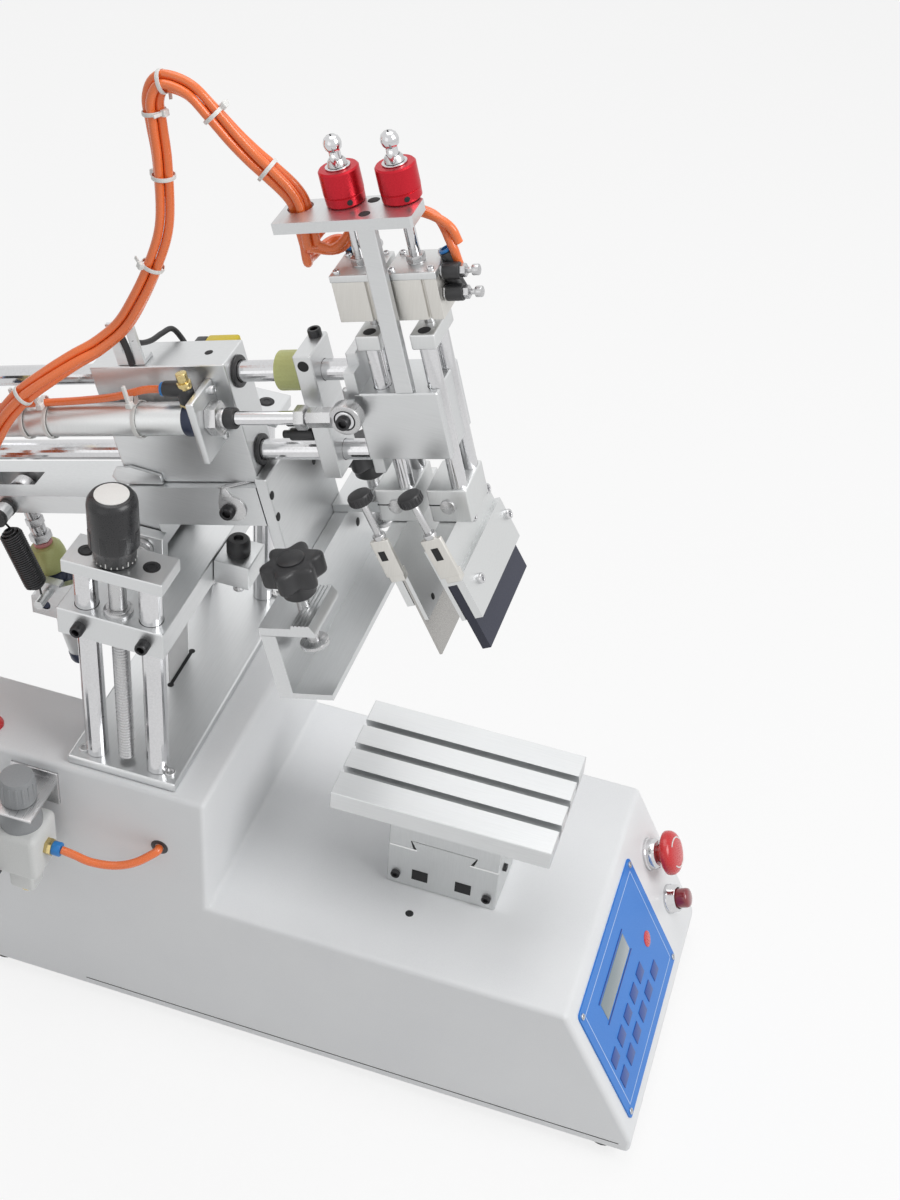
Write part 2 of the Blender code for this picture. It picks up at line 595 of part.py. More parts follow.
def build_carriage(arm, aluminium):
    x = (ARM_CENTRE - CARRIAGE_HALF, ARM_CENTRE + CARRIAGE_HALF)
    z = (ARM_TOP + GAP, ARM_TOP + CARRIAGE_HEIGHT)
    bores = [cylinder("Y", (ARM_CENTRE, height), CARRIAGE_Y[0] - 0.01, CARRIAGE_Y[1] + 0.01, ROD_RADIUS + RUN)
             for height in ROD_Z]
    solid("bearing_block", arm, aluminium, box(x, CARRIAGE_Y, z, 0.0010, 2), cut=bores)
    bracket = box((DRIVE_BRACKET_NEAR, x[0] - GAP), DRIVE_BRACKET_Y, DRIVE_BRACKET_Z, 0.0008, 1)
    bore = cylinder("Y", (DRIVE_X, DRIVE_Z), -0.2, DRIVE_REAR - 0.012, DRIVE_ROD_RADIUS + RUN)
    nut = cylinder("Y", (DRIVE_X, DRIVE_Z), DRIVE_BRACKET_Y[0] - 0.010, DRIVE_BRACKET_Y[0] + 0.001, 0.011, 6)
    tube = cylinder("Y", (DRIVE_X, DRIVE_Z), DRIVE_BRACKET_Y[1] - 0.002, DRIVE_REAR, DRIVE_RADIUS, 32)
    solid("drive_cylinder", arm, aluminium, bracket, add=[nut, tube], cut=[bore])
    clip_x = (ARM_CENTRE - 0.016, ARM_CENTRE - 0.013)
    plate = box(clip_x, CLIP_Y, (z[1] - 0.0002, z[1] + 0.034))
    base = box((clip_x[0], clip_x[0] + 0.014), CLIP_Y, (z[1] + GAP, z[1] + 0.003))
    window = box((-0.1, 0.1), (CLIP_Y[0] + 0.007, CLIP_Y[1] - 0.007), (z[1] + 0.010, z[1] + 0.027))
    trim = box((-0.1, 0.1), (-0.1, 0.0), (z[1] - 0.01, z[1] + GAP))
    solid("hose_clip", arm, aluminium, base, add=[plate], cut=[window, trim])


def build_head(arm, aluminium, steel, chrome, red, amber, navy):
    head = frame("head_frame", (0.0, 0.0, 0.0), arm)
    rods = [cylinder("Y", (ARM_CENTRE, height), BOSS_Y[1] + GAP, ROD_REAR, ROD_RADIUS) for height in ROD_Z]
    tie = box((ARM_CENTRE - 0.014, ARM_CENTRE + 0.014), REAR_CLAMP_Y, (ROD_Z[0] - 0.014, ROD_Z[1] + 0.014), 0.0008, 1)
    solid("guide_rods", head, chrome, tie, add=rods)
    x = (ARM_CENTRE - CARRIAGE_HALF, ARM_CENTRE + CARRIAGE_HALF)
    bores = [cylinder("Y", (ARM_CENTRE, height), FRONT_CLAMP_Y[0] - 0.02, REAR_CLAMP_Y[1] + 0.02, ROD_RADIUS + GAP)
             for height in ROD_Z]
    clamp = box(x, FRONT_CLAMP_Y, (ROD_Z[0] - 0.014, ROD_Z[1] + 0.021), 0.0008, 1)
    solid("rod_clamp", head, aluminium, clamp, cut=bores)
    ring = cylinder("Y", (ARM_CENTRE, ROD_Z[1]), FRONT_CLAMP_Y[1] + GAP, FRONT_CLAMP_Y[1] + BUMPER_LENGTH, BUMPER_RADIUS)
    bore = cylinder("Y", (ARM_CENTRE, ROD_Z[1]), FRONT_CLAMP_Y[1] - 0.01, FRONT_CLAMP_Y[1] + 0.04, ROD_RADIUS + GAP)
    solid("head_bumper", head, amber, ring, cut=[bore])
    block = box(HEAD_X, HEAD_Y, HEAD_Z, 0.0010, 1)
    boss = box((ARM_CENTRE - 0.014, ARM_CENTRE + 0.014), BOSS_Y, (ROD_Z[0] - 0.012, ROD_Z[1] + 0.021), 0.0008, 1)
    ear = box((HEAD_X[0] + 0.0002, ARM_CENTRE - 0.012), BOSS_Y, (HEAD_Z[1] - 0.004, HEAD_Z[1] + 0.017))
    stub = cylinder("X", (ROD_EYE_Y, DRIVE_Z), DRIVE_X + 0.0055, ARM_CENTRE - 0.010, 0.0045, 16)
    wells = [cylinder("Z", (ARM_CENTRE + sign * YOKE_POST_X, y), 0.0, 0.2, YOKE_POST_RADIUS + RUN)
             for sign in (-1, 1) for y in YOKE_Y]
    solid("head_block", head, aluminium, block, add=[boss, ear, stub], cut=wells)
    rod = cylinder("Y", (DRIVE_X, DRIVE_Z), DRIVE_ROD_Y[0], DRIVE_ROD_Y[1], DRIVE_ROD_RADIUS, 20)
    eye = cylinder("X", (ROD_EYE_Y, DRIVE_Z), DRIVE_X - 0.005, DRIVE_X + 0.005, ROD_EYE_RADIUS, 24)
    shank = cylinder("Y", (DRIVE_X, DRIVE_Z), ROD_EYE_Y + 0.008, ROD_EYE_Y + 0.030, 0.0070, 6)
    solid("drive_rod", head, chrome, rod, add=[shank, eye])
    upright = box(UPRIGHT_X, UPRIGHT_Y, (HEAD_Z[1] + GAP, TOP_PLATE_Z - GAP), 0.0006, 1)
    solid("upright_bar", head, aluminium, upright)
    build_top_plate(head, aluminium)
    for name, y in zip(("flood", "squeegee"), YOKE_Y):
        build_jack(head, name, y, aluminium, red)
        build_yoke(head, name, y, aluminium)
    build_flood_blade(steel, aluminium)
    build_squeegee_blade(aluminium, navy)
    return head


def build_top_plate(head, aluminium):
    x, y = TOP_PLATE_X, TOP_PLATE_Y
    across, along = TOP_PLATE_CHAMFER
    outline = [(x[0], y[1]), (x[0], y[0] + 0.0015), (x[0] + 0.0015, y[0]), (x[1] - across, y[0]), (x[1], y[0] + along),
               (x[1], y[1])]
    holes = [cylinder("Z", (ARM_CENTRE, place), 0.2, 0.3, STEM_RADIUS + RUN) for place in YOKE_Y]
    passage = cylinder("Z", (HOSE_X, HOSE_Y), 0.2, 0.3, HOSE_RADIUS + 2 * GAP, 28)
    bolt_hole = cylinder("Z", (ARM_CENTRE, (YOKE_Y[0] + YOKE_Y[1]) / 2), 0.2, 0.3, 0.004, 16)
    plate = prism_z(outline, (TOP_PLATE_Z, TOP_PLATE_Z + TOP_PLATE_THICKNESS))
    solid("top_plate", head, aluminium, plate, cut=[*holes, passage, bolt_hole])


def build_jack(head, name, y, aluminium, red):
    """A square air cylinder hung from the top plate by its threaded stem, with its red adjuster."""
    x = (ARM_CENTRE - JACK_HALF, ARM_CENTRE + JACK_HALF)
    top = JACK_BOTTOM + JACK_HEIGHT
    body = box(x, (y - JACK_HALF_Y, y + JACK_HALF_Y), (JACK_BOTTOM, top), 0.0012, 2)
    seat = TOP_PLATE_Z + TOP_PLATE_THICKNESS + GAP
    stem = cylinder("Z", (ARM_CENTRE, y), top - 0.003, seat + STEM_REACH, STEM_RADIUS, 16)
    bore = cylinder("Z", (ARM_CENTRE, y), JACK_BOTTOM - 0.01, top - 0.004, PISTON_ROD_RADIUS + RUN)
    solid(f"{name}_cylinder", head, aluminium, body, add=[stem], cut=[bore])
    turn = frame(f"{name}_adjuster_frame", (ARM_CENTRE, y, 0.0), head)
    high = seat + ADJUSTER_HEIGHT
    knob = turned([(0.0, seat), (ADJUSTER_RADIUS - 0.0012, seat), (ADJUSTER_RADIUS, seat + 0.0012),
                   (ADJUSTER_RADIUS, seat + 0.0068), (ADJUSTER_RADIUS - 0.0007, seat + 0.0074),
                   (ADJUSTER_RADIUS - 0.0007, high - 0.0018), (ADJUSTER_RADIUS - 0.0022, high), (0.0090, high),
                   (0.0090, high + 0.0015),
                   (0.0065, high + 0.0015), (0.0060, high + 0.010), (0.0, high + 0.010)])
    wings = [box((-0.016, 0.016), (-0.0016, 0.0016), (high + 0.003, high + 0.012), 0.0012, 2)]
    bore = cylinder("Z", (0.0, 0.0), seat - 0.01, high + 0.03, STEM_RADIUS + RUN)
    solid(f"{name}_adjuster", turn, red, knob, add=wings, cut=[bore])


def build_yoke(head, name, y, aluminium):
    """A crosshead, its two guide posts and the grip at their lower ends."""
    slide = frame(f"{name}_frame", (0.0, 0.0, 0.0), head)
    bar = box((ARM_CENTRE - YOKE_HALF_SPAN, ARM_CENTRE + YOKE_HALF_SPAN),
              (y - YOKE_HALF_WIDTH, y + YOKE_HALF_WIDTH), YOKE_Z, 0.0010, 2)
    posts = [cylinder("Z", (ARM_CENTRE + sign * YOKE_POST_X, y), GRIP_Z[0] + 0.016, YOKE_Z[0] + 0.004,
                      YOKE_POST_RADIUS, 20) for sign in (-1, 1)]
    rod = cylinder("Z", (ARM_CENTRE, y), YOKE_Z[1] - 0.002, JACK_BOTTOM + JACK_HEIGHT - 0.006, PISTON_ROD_RADIUS, 16)
    grip_y = (y + GRIP_REACH[0], y + GRIP_REACH[1])
    grip = box((ARM_CENTRE - GRIP_HALF, ARM_CENTRE + GRIP_HALF), grip_y, GRIP_Z, 0.0010, 1)
    solid(f"{name}_yoke", slide, aluminium, bar, add=[*posts, rod, grip])


def blade_frame(name, y, tilt):
    return frame(f"{name}_tilt", (0.0, y + 0.006, GRIP_Z[0] - GAP), bpy.data.objects[f"{name}_frame"], -tilt)


def holder_head(x, low, high, bottom, tilt):
    """The top of a blade holder, cut level with the grip that it hangs from."""
    slant = math.tan(tilt)
    return prism_x([(low, bottom), (low, low * slant), (high, high * slant), (high, bottom)], x)


def build_squeegee_blade(aluminium, navy):
    tilt = blade_frame("squeegee", YOKE_Y[1], SQUEEGEE_TILT)
    front = box(SQUEEGEE_X, (-0.0048, 0.0015), (-0.060, -0.0235))
    web = box(SQUEEGEE_X, (-0.0040, 0.0120), (-0.029, -0.0235))
    rear = box(SQUEEGEE_X, (0.0091, 0.0125), (-0.060, -0.006))
    head = holder_head(SQUEEGEE_X, 0.0, 0.0125, -0.016, SQUEEGEE_TILT)
    web_top = box(SQUEEGEE_X, (0.0, 0.0100), (-0.0240, -0.014))
    solid("squeegee_holder", tilt, aluminium, head, add=[web_top, web, front, rear])
    blade = box((SQUEEGEE_X[0] + 0.0005, SQUEEGEE_X[1] - 0.0005), (0.0018, 0.0088), (-0.0875, -0.0293))
    solid("squeegee_blade", tilt, navy, blade)


def build_flood_blade(steel, aluminium):
    tilt = blade_frame("flood", YOKE_Y[0], FLOOD_TILT)
    front = box(BLADE_X, (-0.0021, 0.0009), (-0.066, -0.006))
    rear = box(BLADE_X, (0.0035, 0.0095), (-0.052, -0.006))
    head = holder_head(BLADE_X, -0.0021, 0.0095, -0.014, FLOOD_TILT)
    solid("flood_holder", tilt, aluminium, head, add=[front, rear])
    blade = box((BLADE_X[0] + 0.0005, BLADE_X[1] - 0.0005), (0.0012, 0.0032), (-0.0987, -0.0145))
    solid("flood_blade", tilt, steel, blade)


def build_rocking_cylinder(lift, aluminium, chrome):
    """The air cylinder swings on the bracket's lug; its rod reaches the pin in the arm's slot."""
    pin_y = PIVOT_Y + FORK_PIN_Y * math.cos(ARM_TILT) + FORK_PIN_Z * math.sin(ARM_TILT)
    pin_z = PIVOT_Z - FORK_PIN_Y * math.sin(ARM_TILT) + FORK_PIN_Z * math.cos(ARM_TILT)
    reach = math.hypot(pin_y - LUG_Y, pin_z - LUG_Z)
    lean = -math.atan2(pin_y - LUG_Y, pin_z - LUG_Z)
    swing = frame("rocking_frame", (LUG_X, LUG_Y, LUG_Z), lift, lean)
    barrel = turned([(0.0, -ROCK_LENGTH), (ROCK_RADIUS - 0.002, -ROCK_LENGTH), (ROCK_RADIUS, -ROCK_LENGTH + 0.002),
                     (ROCK_RADIUS, 0.006), (0.009, 0.007), (0.009, 0.016), (0.0, 0.016)])
    trunnion = cylinder("X", (0.0, 0.0), -0.026, 0.026, 0.0047, 16)
    bore = cylinder("Z", (0.0, 0.0), -ROCK_LENGTH + 0.008, 0.03, ROCK_ROD_RADIUS + RUN)
    solid("rocking_cylinder", swing, aluminium, barrel, add=[trunnion], cut=[bore])
    slide = frame("rocking_rod_frame", (0.0, 0.0, 0.0), swing)
    rod = turned([(0.0, -0.045), (ROCK_ROD_RADIUS, -0.045), (ROCK_ROD_RADIUS, 0.0195), (0.0150, 0.0195),
                  (0.0155, 0.034), (0.0120, 0.042), (0.0050, 0.042), (0.0050, 0.046), (0.0085, 0.046), (0.0085, 0.062),
                  (0.0070, 0.064), (0.0070, reach - 0.008), (0.0, reach - 0.008)], 24)
    eye = cylinder("X", (0.0, reach), -0.006, 0.006, 0.0100, 24)
    bore = cylinder("X", (0.0, reach), -0.02, 0.02, FORK_PIN_RADIUS + 0.0010, 16)
    solid("rocking_rod", slide, chrome, rod, add=[eye], cut=[bore])


def build_spring(lift, black):
    """The return spring as one closed sleeve between its two posts."""
    top_y = PIVOT_Y + FORK_PIN_Y * math.cos(ARM_TILT) + FORK_PIN_Z * math.sin(ARM_TILT)
    top_z = PIVOT_Z - FORK_PIN_Y * math.sin(ARM_TILT) + FORK_PIN_Z * math.cos(ARM_TILT)
    low_y, low_z = LUG_Y - 0.005, LUG_Z + 0.016
    lean = -math.atan2(top_y - low_y, top_z - low_z)
    reach = math.hypot(top_y - low_y, top_z - low_z)
    x = ARM_CENTRE - ARM_HALF - 0.0115
    place = frame("spring_frame", (x, low_y, low_z), lift, lean)
    body = cylinder("Z", (0.0, 0.0), 0.0045, reach - 0.0080, 0.0095, 20)
    solid("return_spring", place, black, body)


def build_regulator(machine, pale):
    """The regulator on its bracket, with its lower port and its gauge."""
    side = -CABINET_WIDTH / 2
    x = side - (REGULATOR_X[0] + REGULATOR_X[1]) / 2
    y = (REGULATOR_Y - REGULATOR_HALF, REGULATOR_Y + REGULATOR_HALF)
    wall = box((side - SHELF_THICKNESS, side - GAP), y, (REGULATOR_TOP, REGULATOR_SHELF + 0.010))
    shelf = box((side - REGULATOR_X[1], side - 0.001), y, (REGULATOR_SHELF, REGULATOR_SHELF + SHELF_THICKNESS))
    body = box((side - REGULATOR_X[1], side - REGULATOR_X[0]), y, (REGULATOR_LOW, REGULATOR_TOP), 0.004, 2)
    bonnet = cylinder("Z", (x, REGULATOR_Y), REGULATOR_TOP - 0.002, REGULATOR_SHELF + 0.001, BONNET_RADIUS)
    port = box((x - 0.010, x + 0.010), (REGULATOR_Y - 0.010, REGULATOR_Y + 0.012),
               (REGULATOR_LOW - 0.028, REGULATOR_LOW + 0.002), 0.002, 1)
    socket = cylinder("Y", (x, REGULATOR_PORT), y[0] - 0.013, y[0] + 0.002, 0.0065, 16)
    gauge_y = REGULATOR_Y + GAUGE_SETBACK
    gauge_z = REGULATOR_LOW - GAUGE_DROP
    face = side - REGULATOR_REACH
    gauge = cylinder("X", (gauge_y, gauge_z), face, face + GAUGE_DEPTH, GAUGE_RADIUS)
    neck = cylinder("X", (gauge_y - 0.012, gauge_z + 0.006), face + GAUGE_DEPTH - 0.002, side - 0.016, 0.0055, 16)
    elbow = box((x - 0.001, side - 0.012), (y[1] - 0.010, gauge_y - 0.006), (gauge_z, REGULATOR_LOW + 0.004))
    solid("air_regulator", machine, pale, body, add=[bonnet, port, socket, shelf, wall, elbow, neck, gauge])
    return x, y[0] - 0.013


def build_air_service(machine, grey, pale, orange):
    side = -CABINET_WIDTH / 2
    x, y = build_regulator(machine, pale)
    turn = frame("regulator_knob_frame", (x, REGULATOR_Y, 0.0), machine)
    low = REGULATOR_SHELF + SHELF_THICKNESS + GAP
    knob = cylinder("Z", (0.0, 0.0), low, low + KNOB_HEIGHT, KNOB_RADIUS, 8, KNOB_RADIUS * 0.9)
    solid("regulator_knob", turn, grey, knob)
    route = [(x, y - 0.0005, REGULATOR_PORT), (x, y - 0.011, 0.2115), (x + 0.001, y - 0.026, 0.2075),
             (x + 0.006, y - 0.044, 0.2055), (x + 0.012, HOSE_HOLE_Y + 0.014, 0.2095),
             (side - 0.0060, HOSE_HOLE_Y + 0.0005, HOSE_HOLE_Z - 0.0002), (side - 0.0008, HOSE_HOLE_Y, HOSE_HOLE_Z)]
    hose("regulator_hose", machine, orange, route, SMALL_HOSE_RADIUS, 26)


HOSE_LOOP = [(-0.0245, -0.1885, 0.232), (-0.0245, -0.1885, 0.246), (-0.0245, -0.1885, 0.257),
             (-0.0245, -0.1876, 0.2655), (-0.0245, -0.1830, 0.2745), (-0.0245, -0.1740, 0.2860),
             (-0.0245, -0.1640, 0.2980), (-0.0245, -0.1540, 0.312), (-0.0245, -0.1430, 0.330), (-0.0245, -0.1310, 0.347),
             (-0.025, -0.114, 0.354), (-0.027, -0.105, 0.344), (-0.029, -0.103, 0.326), (-0.031, -0.100, 0.300),
             (-0.034, -0.090, 0.259), (-0.038, -0.074, 0.230), (-0.042, -0.056, 0.206), (-0.045, -0.038, 0.187),
             (-0.052, -0.018, 0.175), (-0.062, -0.002, 0.170), (-0.072, 0.016, 0.163), (-0.080, 0.038, 0.152),
             (-0.084, 0.058, 0.136), (-0.085, 0.078, 0.114), (-0.085, 0.100, 0.090), (-0.086, 0.126, 0.064),
             (-0.090, 0.149, 0.037), (-0.095, 0.168, 0.006), (-0.096, 0.184, -0.042), (-0.096, 0.197, -0.090),
             (-0.096, 0.205, -0.118), (-0.096, 0.2075, -0.1260)]


def build_hoses(arm, orange):
    hose("hose_loop", arm, orange, HOSE_LOOP, HOSE_RADIUS, 76)


def main():
    clear_scene()
    paint = material("white_paint", PAINT, 0.0, 0.4)
    aluminium = material("machined_aluminium", ALUMINIUM, 1.0, 0.38)
    steel = material("ground_steel", STEEL, 1.0, 0.35)
    chrome = material("chromed_steel", STEEL, 1.0, 0.15)
    black = material("black_plastic", BLACK, 0.0, 0.45)
    red = material("red_anodised", RED, 0.6, 0.35)
    lens = material("red_lens", RED, 0.0, 0.2)
    blue = material("blue_film", BLUE, 0.0, 0.4)
    amber = material("amber_urethane", AMBER, 0.0, 0.4)
    navy = material("squeegee_rubber", NAVY, 0.0, 0.5)
    orange = material("orange_hose", ORANGE, 0.0, 0.35)
    grey = material("grey_plastic", GREY, 0.0, 0.5)
    machine = frame("machine_frame", (REGULATOR_REACH / 2, -CABINET_LENGTH / 2, FOOT_HEIGHT))
    build_cabinet(machine, paint)
    build_controls(machine, blue, chrome, red, lens)
    build_table(machine, aluminium, steel)
    build_lift_guides(machine, aluminium, chrome, black)
    lift = build_lift(machine, aluminium)
    arm = build_arm(lift, aluminium, black)
    build_head(arm, aluminium, steel, chrome, red, amber, navy)
    build_rocking_cylinder(lift, aluminium, chrome)
    build_spring(lift, black)
    build_air_service(machine, grey, paint, orange)
    build_hoses(arm, orange)


main()
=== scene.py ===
"""Looks of the rocker arm screen printing machine: finishes, hoses, fasteners and small parts."""
import json
import logging
import math
from dataclasses import dataclass, field
from enum import Enum
from typing import Callable, Iterable, Optional, Sequence

import bmesh
import bpy
from mathutils import Matrix, Vector


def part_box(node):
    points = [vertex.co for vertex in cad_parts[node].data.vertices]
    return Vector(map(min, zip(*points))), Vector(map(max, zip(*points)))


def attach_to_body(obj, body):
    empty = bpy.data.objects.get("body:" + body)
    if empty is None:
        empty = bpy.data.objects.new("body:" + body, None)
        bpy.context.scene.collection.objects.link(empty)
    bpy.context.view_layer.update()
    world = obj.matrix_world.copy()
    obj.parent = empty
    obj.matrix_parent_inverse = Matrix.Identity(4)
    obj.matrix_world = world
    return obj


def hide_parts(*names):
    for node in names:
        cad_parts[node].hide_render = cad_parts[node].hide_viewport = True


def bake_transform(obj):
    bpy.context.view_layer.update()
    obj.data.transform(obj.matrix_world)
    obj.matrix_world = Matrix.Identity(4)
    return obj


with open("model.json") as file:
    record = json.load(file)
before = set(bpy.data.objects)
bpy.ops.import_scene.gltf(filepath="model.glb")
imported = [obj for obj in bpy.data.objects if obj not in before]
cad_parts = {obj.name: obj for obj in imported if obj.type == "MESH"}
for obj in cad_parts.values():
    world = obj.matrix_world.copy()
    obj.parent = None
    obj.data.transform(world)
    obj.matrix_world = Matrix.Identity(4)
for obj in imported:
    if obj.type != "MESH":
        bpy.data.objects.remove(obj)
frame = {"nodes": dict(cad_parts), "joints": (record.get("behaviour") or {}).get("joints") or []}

logging.basicConfig(level=logging.INFO, format="%(message)s")
log = logging.getLogger("scene")

Point = tuple[float, float, float]
Color = tuple[float, float, float]

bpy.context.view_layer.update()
FINE_FACTOR = 4.0
BROAD_SCALE = 14.0
RELIEF_DEPTH = 0.0004
HOLE_PROUD = 0.00012


class Axis(Enum):
    """The direction that a bar or an outline is drawn along."""

    X = 0
    Y = 1
    Z = 2

    def turn(self) -> Matrix:
        """Return the rotation that lays a shape drawn along Z along this axis."""
        return {Axis.X: Matrix.Rotation(math.pi / 2, 4, "Y"), Axis.Y: Matrix.Rotation(-math.pi / 2, 4, "X"),
                Axis.Z: Matrix.Identity(4)}[self]

    def point(self, at: Sequence[float], along: float) -> Point:
        """Return the point at that place on the other two axes and that distance along this one."""
        return {Axis.X: (along, *at), Axis.Y: (at[0], along, at[1]), Axis.Z: (*at, along)}[self]


class Grain(Enum):
    """How a finish's fine texture lies on the surface."""

    EVEN = (1.0, 1.0, 1.0)
    ALONG_X = (0.04, 1.0, 1.0)
    ALONG_Y = (1.0, 0.04, 1.0)
    ALONG_Z = (1.0, 1.0, 0.04)


@dataclass(frozen=True)
class Finish:
    """A surface finish: base colour, a second tone, gloss and fine relief."""

    name: str
    color: Color
    tone: Color
    roughness: float = 0.45
    spread: float = 0.1
    metallic: float = 0.0
    grain: Grain = Grain.EVEN
    scale: float = 220.0
    relief: float = 0.05
    coat: float = 0.0
    clear: float = 0.0

    def material(self) -> bpy.types.Material:
        """Return the finish's material, made once.

        Returns:
            The node material, with tone, gloss and relief from noise on object coordinates.
        """
        found = bpy.data.materials.get(self.name)
        if found:
            return found
        made = bpy.data.materials.new(self.name)
        made.use_nodes = True
        nodes, links = made.node_tree.nodes, made.node_tree.links
        shader = nodes["Principled BSDF"]
        shader.inputs["Metallic"].default_value = self.metallic
        shader.inputs["Coat Weight"].default_value = self.coat
        shader.inputs["Transmission Weight"].default_value = self.clear
        place = nodes.new("ShaderNodeTexCoord")
        stretch = nodes.new("ShaderNodeMapping")
        stretch.inputs["Scale"].default_value = self.grain.value
        links.new(place.outputs["Object"], stretch.inputs["Vector"])
        fine = self.noise(nodes, links, stretch.outputs["Vector"], self.scale * FINE_FACTOR, 3.0)
        broad = self.noise(nodes, links, place.outputs["Object"], BROAD_SCALE, 4.0)
        blend = nodes.new("ShaderNodeMix")
        blend.data_type = "RGBA"
        blend.inputs["A"].default_value = (*self.color, 1.0)
        blend.inputs["B"].default_value = (*self.tone, 1.0)
        both = nodes.new("ShaderNodeMath")
        both.operation = "MULTIPLY"
        links.new(fine, both.inputs[0])
        links.new(broad, both.inputs[1])
        amount = nodes.new("ShaderNodeMapRange")
        amount.inputs["From Min"].default_value = 0.12
        amount.inputs["From Max"].default_value = 0.42
        links.new(both.outputs["Value"], amount.inputs["Value"])
        links.new(amount.outputs["Result"], blend.inputs["Factor"])
        links.new(blend.outputs["Result"], shader.inputs["Base Color"])
        gloss = nodes.new("ShaderNodeMapRange")
        gloss.inputs["From Min"].default_value = 0.3
        gloss.inputs["From Max"].default_value = 0.7
        gloss.inputs["To Min"].default_value = max(0.03, self.roughness - self.spread)
        gloss.inputs["To Max"].default_value = min(1.0, self.roughness + self.spread)
        links.new(fine, gloss.inputs["Value"])
        links.new(gloss.outputs["Result"], shader.inputs["Roughness"])
        bump = nodes.new("ShaderNodeBump")
        bump.inputs["Strength"].default_value = self.relief
        bump.inputs["Distance"].default_value = RELIEF_DEPTH
        links.new(fine, bump.inputs["Height"])
        links.new(bump.outputs["Normal"], shader.inputs["Normal"])
        return made

    @staticmethod
    def noise(nodes: bpy.types.Nodes, links: bpy.types.NodeLinks, vector: bpy.types.NodeSocket, scale: float,
              detail: float) -> bpy.types.NodeSocket:
        """Add a noise texture.

        Args:
            nodes: the material's nodes.
            links: its links.
            vector: where the texture is read.
            scale: the pattern's scale.
            detail: how many finer layers it has.

        Returns:
            The texture's factor output.
        """
        texture = nodes.new("ShaderNodeTexNoise")
        texture.inputs["Scale"].default_value = scale
        texture.inputs["Detail"].default_value = detail
        links.new(vector, texture.inputs["Vector"])
        return texture.outputs["Fac"]


PAINT = Finish("white_powder_coat", (0.8, 0.81, 0.82), (0.76, 0.77, 0.785), 0.42, 0.06, scale=300, relief=0.1)
FILM = Finish("blue_membrane", (0.015, 0.2, 0.66), (0.012, 0.175, 0.6), 0.38, 0.06, scale=400, relief=0.06)
FILM_LINE = Finish("pale_film_line", (0.45, 0.6, 0.85), (0.4, 0.55, 0.82), 0.4, 0.05)
FILM_KEY = Finish("dark_blue_key", (0.01, 0.06, 0.3), (0.012, 0.07, 0.33), 0.35, 0.05)
WINDOW = Finish("grey_display", (0.2, 0.25, 0.27), (0.17, 0.22, 0.24), 0.15, 0.04, coat=0.6)
ALUMINIUM = Finish("milled_aluminium", (0.66, 0.67, 0.675), (0.625, 0.635, 0.64), 0.36, 0.04, 1.0,
                   Grain.ALONG_Y, 260, 0.03)
ALUMINIUM_X = Finish("milled_aluminium_across", (0.66, 0.67, 0.675), (0.625, 0.635, 0.64), 0.36, 0.04, 1.0,
                     Grain.ALONG_X, 260, 0.03)
ANODISED = Finish("satin_anodised", (0.68, 0.69, 0.69), (0.65, 0.66, 0.66), 0.42, 0.04, 1.0,
                  Grain.ALONG_Z, 320, 0.02)
STEEL = Finish("satin_ground_steel", (0.56, 0.56, 0.56), (0.52, 0.52, 0.53), 0.3, 0.05, 1.0,
               Grain.ALONG_X, 260, 0.03)
BLADE_STEEL = Finish("blade_steel", (0.46, 0.45, 0.43), (0.4, 0.39, 0.38), 0.28, 0.06, 1.0,
                     Grain.ALONG_Z, 300, 0.03)
CHROME = Finish("hard_chrome", (0.66, 0.66, 0.67), (0.6, 0.6, 0.61), 0.13, 0.05, 1.0, Grain.EVEN, 160, 0.01)
BRASS = Finish("plated_brass", (0.62, 0.5, 0.24), (0.55, 0.43, 0.2), 0.25, 0.08, 1.0)
BLACK = Finish("moulded_black", (0.022, 0.022, 0.024), (0.03, 0.03, 0.032), 0.42, 0.08,
               scale=260, relief=0.08)
BLACK_STEEL = Finish("blackened_steel", (0.035, 0.035, 0.037), (0.055, 0.055, 0.057), 0.34, 0.08, 0.7)
RUBBER = Finish("foot_rubber", (0.02, 0.02, 0.02), (0.03, 0.03, 0.03), 0.75, 0.08, relief=0.15)
GLOSS_BLACK = Finish("gloss_black", (0.016, 0.016, 0.018), (0.022, 0.022, 0.024), 0.3, 0.05,
                     scale=260, relief=0.03)
CHAMPAGNE = Finish("pale_champagne", (0.7, 0.685, 0.65), (0.66, 0.645, 0.61), 0.42, 0.05, 0.9,
                   Grain.ALONG_Z, 320, 0.03)
CARD = Finish("white_sheet", (0.8, 0.8, 0.8), (0.78, 0.78, 0.78), 0.5, 0.05)
HOLE = Finish("shaded_hole", (0.01, 0.01, 0.011), (0.014, 0.014, 0.015), 0.7, 0.05)
CAP_DARK = Finish("dark_end_cap", (0.025, 0.035, 0.075), (0.03, 0.042, 0.085), 0.35, 0.06, 0.2)
RED = Finish("gloss_red", (0.62, 0.018, 0.022), (0.56, 0.014, 0.018), 0.28, 0.05, coat=0.3)
LENS = Finish("dark_red_lens", (0.26, 0.01, 0.02), (0.2, 0.008, 0.016), 0.18, 0.04, coat=0.8)
RED_METAL = Finish("red_anodised_metal", (0.6, 0.02, 0.035), (0.5, 0.014, 0.026), 0.32, 0.06, 0.75)
AMBER = Finish("amber_stop_urethane", (0.62, 0.66, 0.28), (0.57, 0.6, 0.24), 0.4, 0.05)
PINK = Finish("pink_seal", (0.75, 0.33, 0.33), (0.7, 0.29, 0.3), 0.45, 0.05)
NAVY = Finish("black_blade_rubber", (0.014, 0.017, 0.036), (0.018, 0.021, 0.042), 0.48, 0.05, relief=0.04)
ORANGE = Finish("orange_tube", (0.92, 0.2, 0.045), (0.86, 0.17, 0.035), 0.26, 0.05, coat=0.4, relief=0.02)
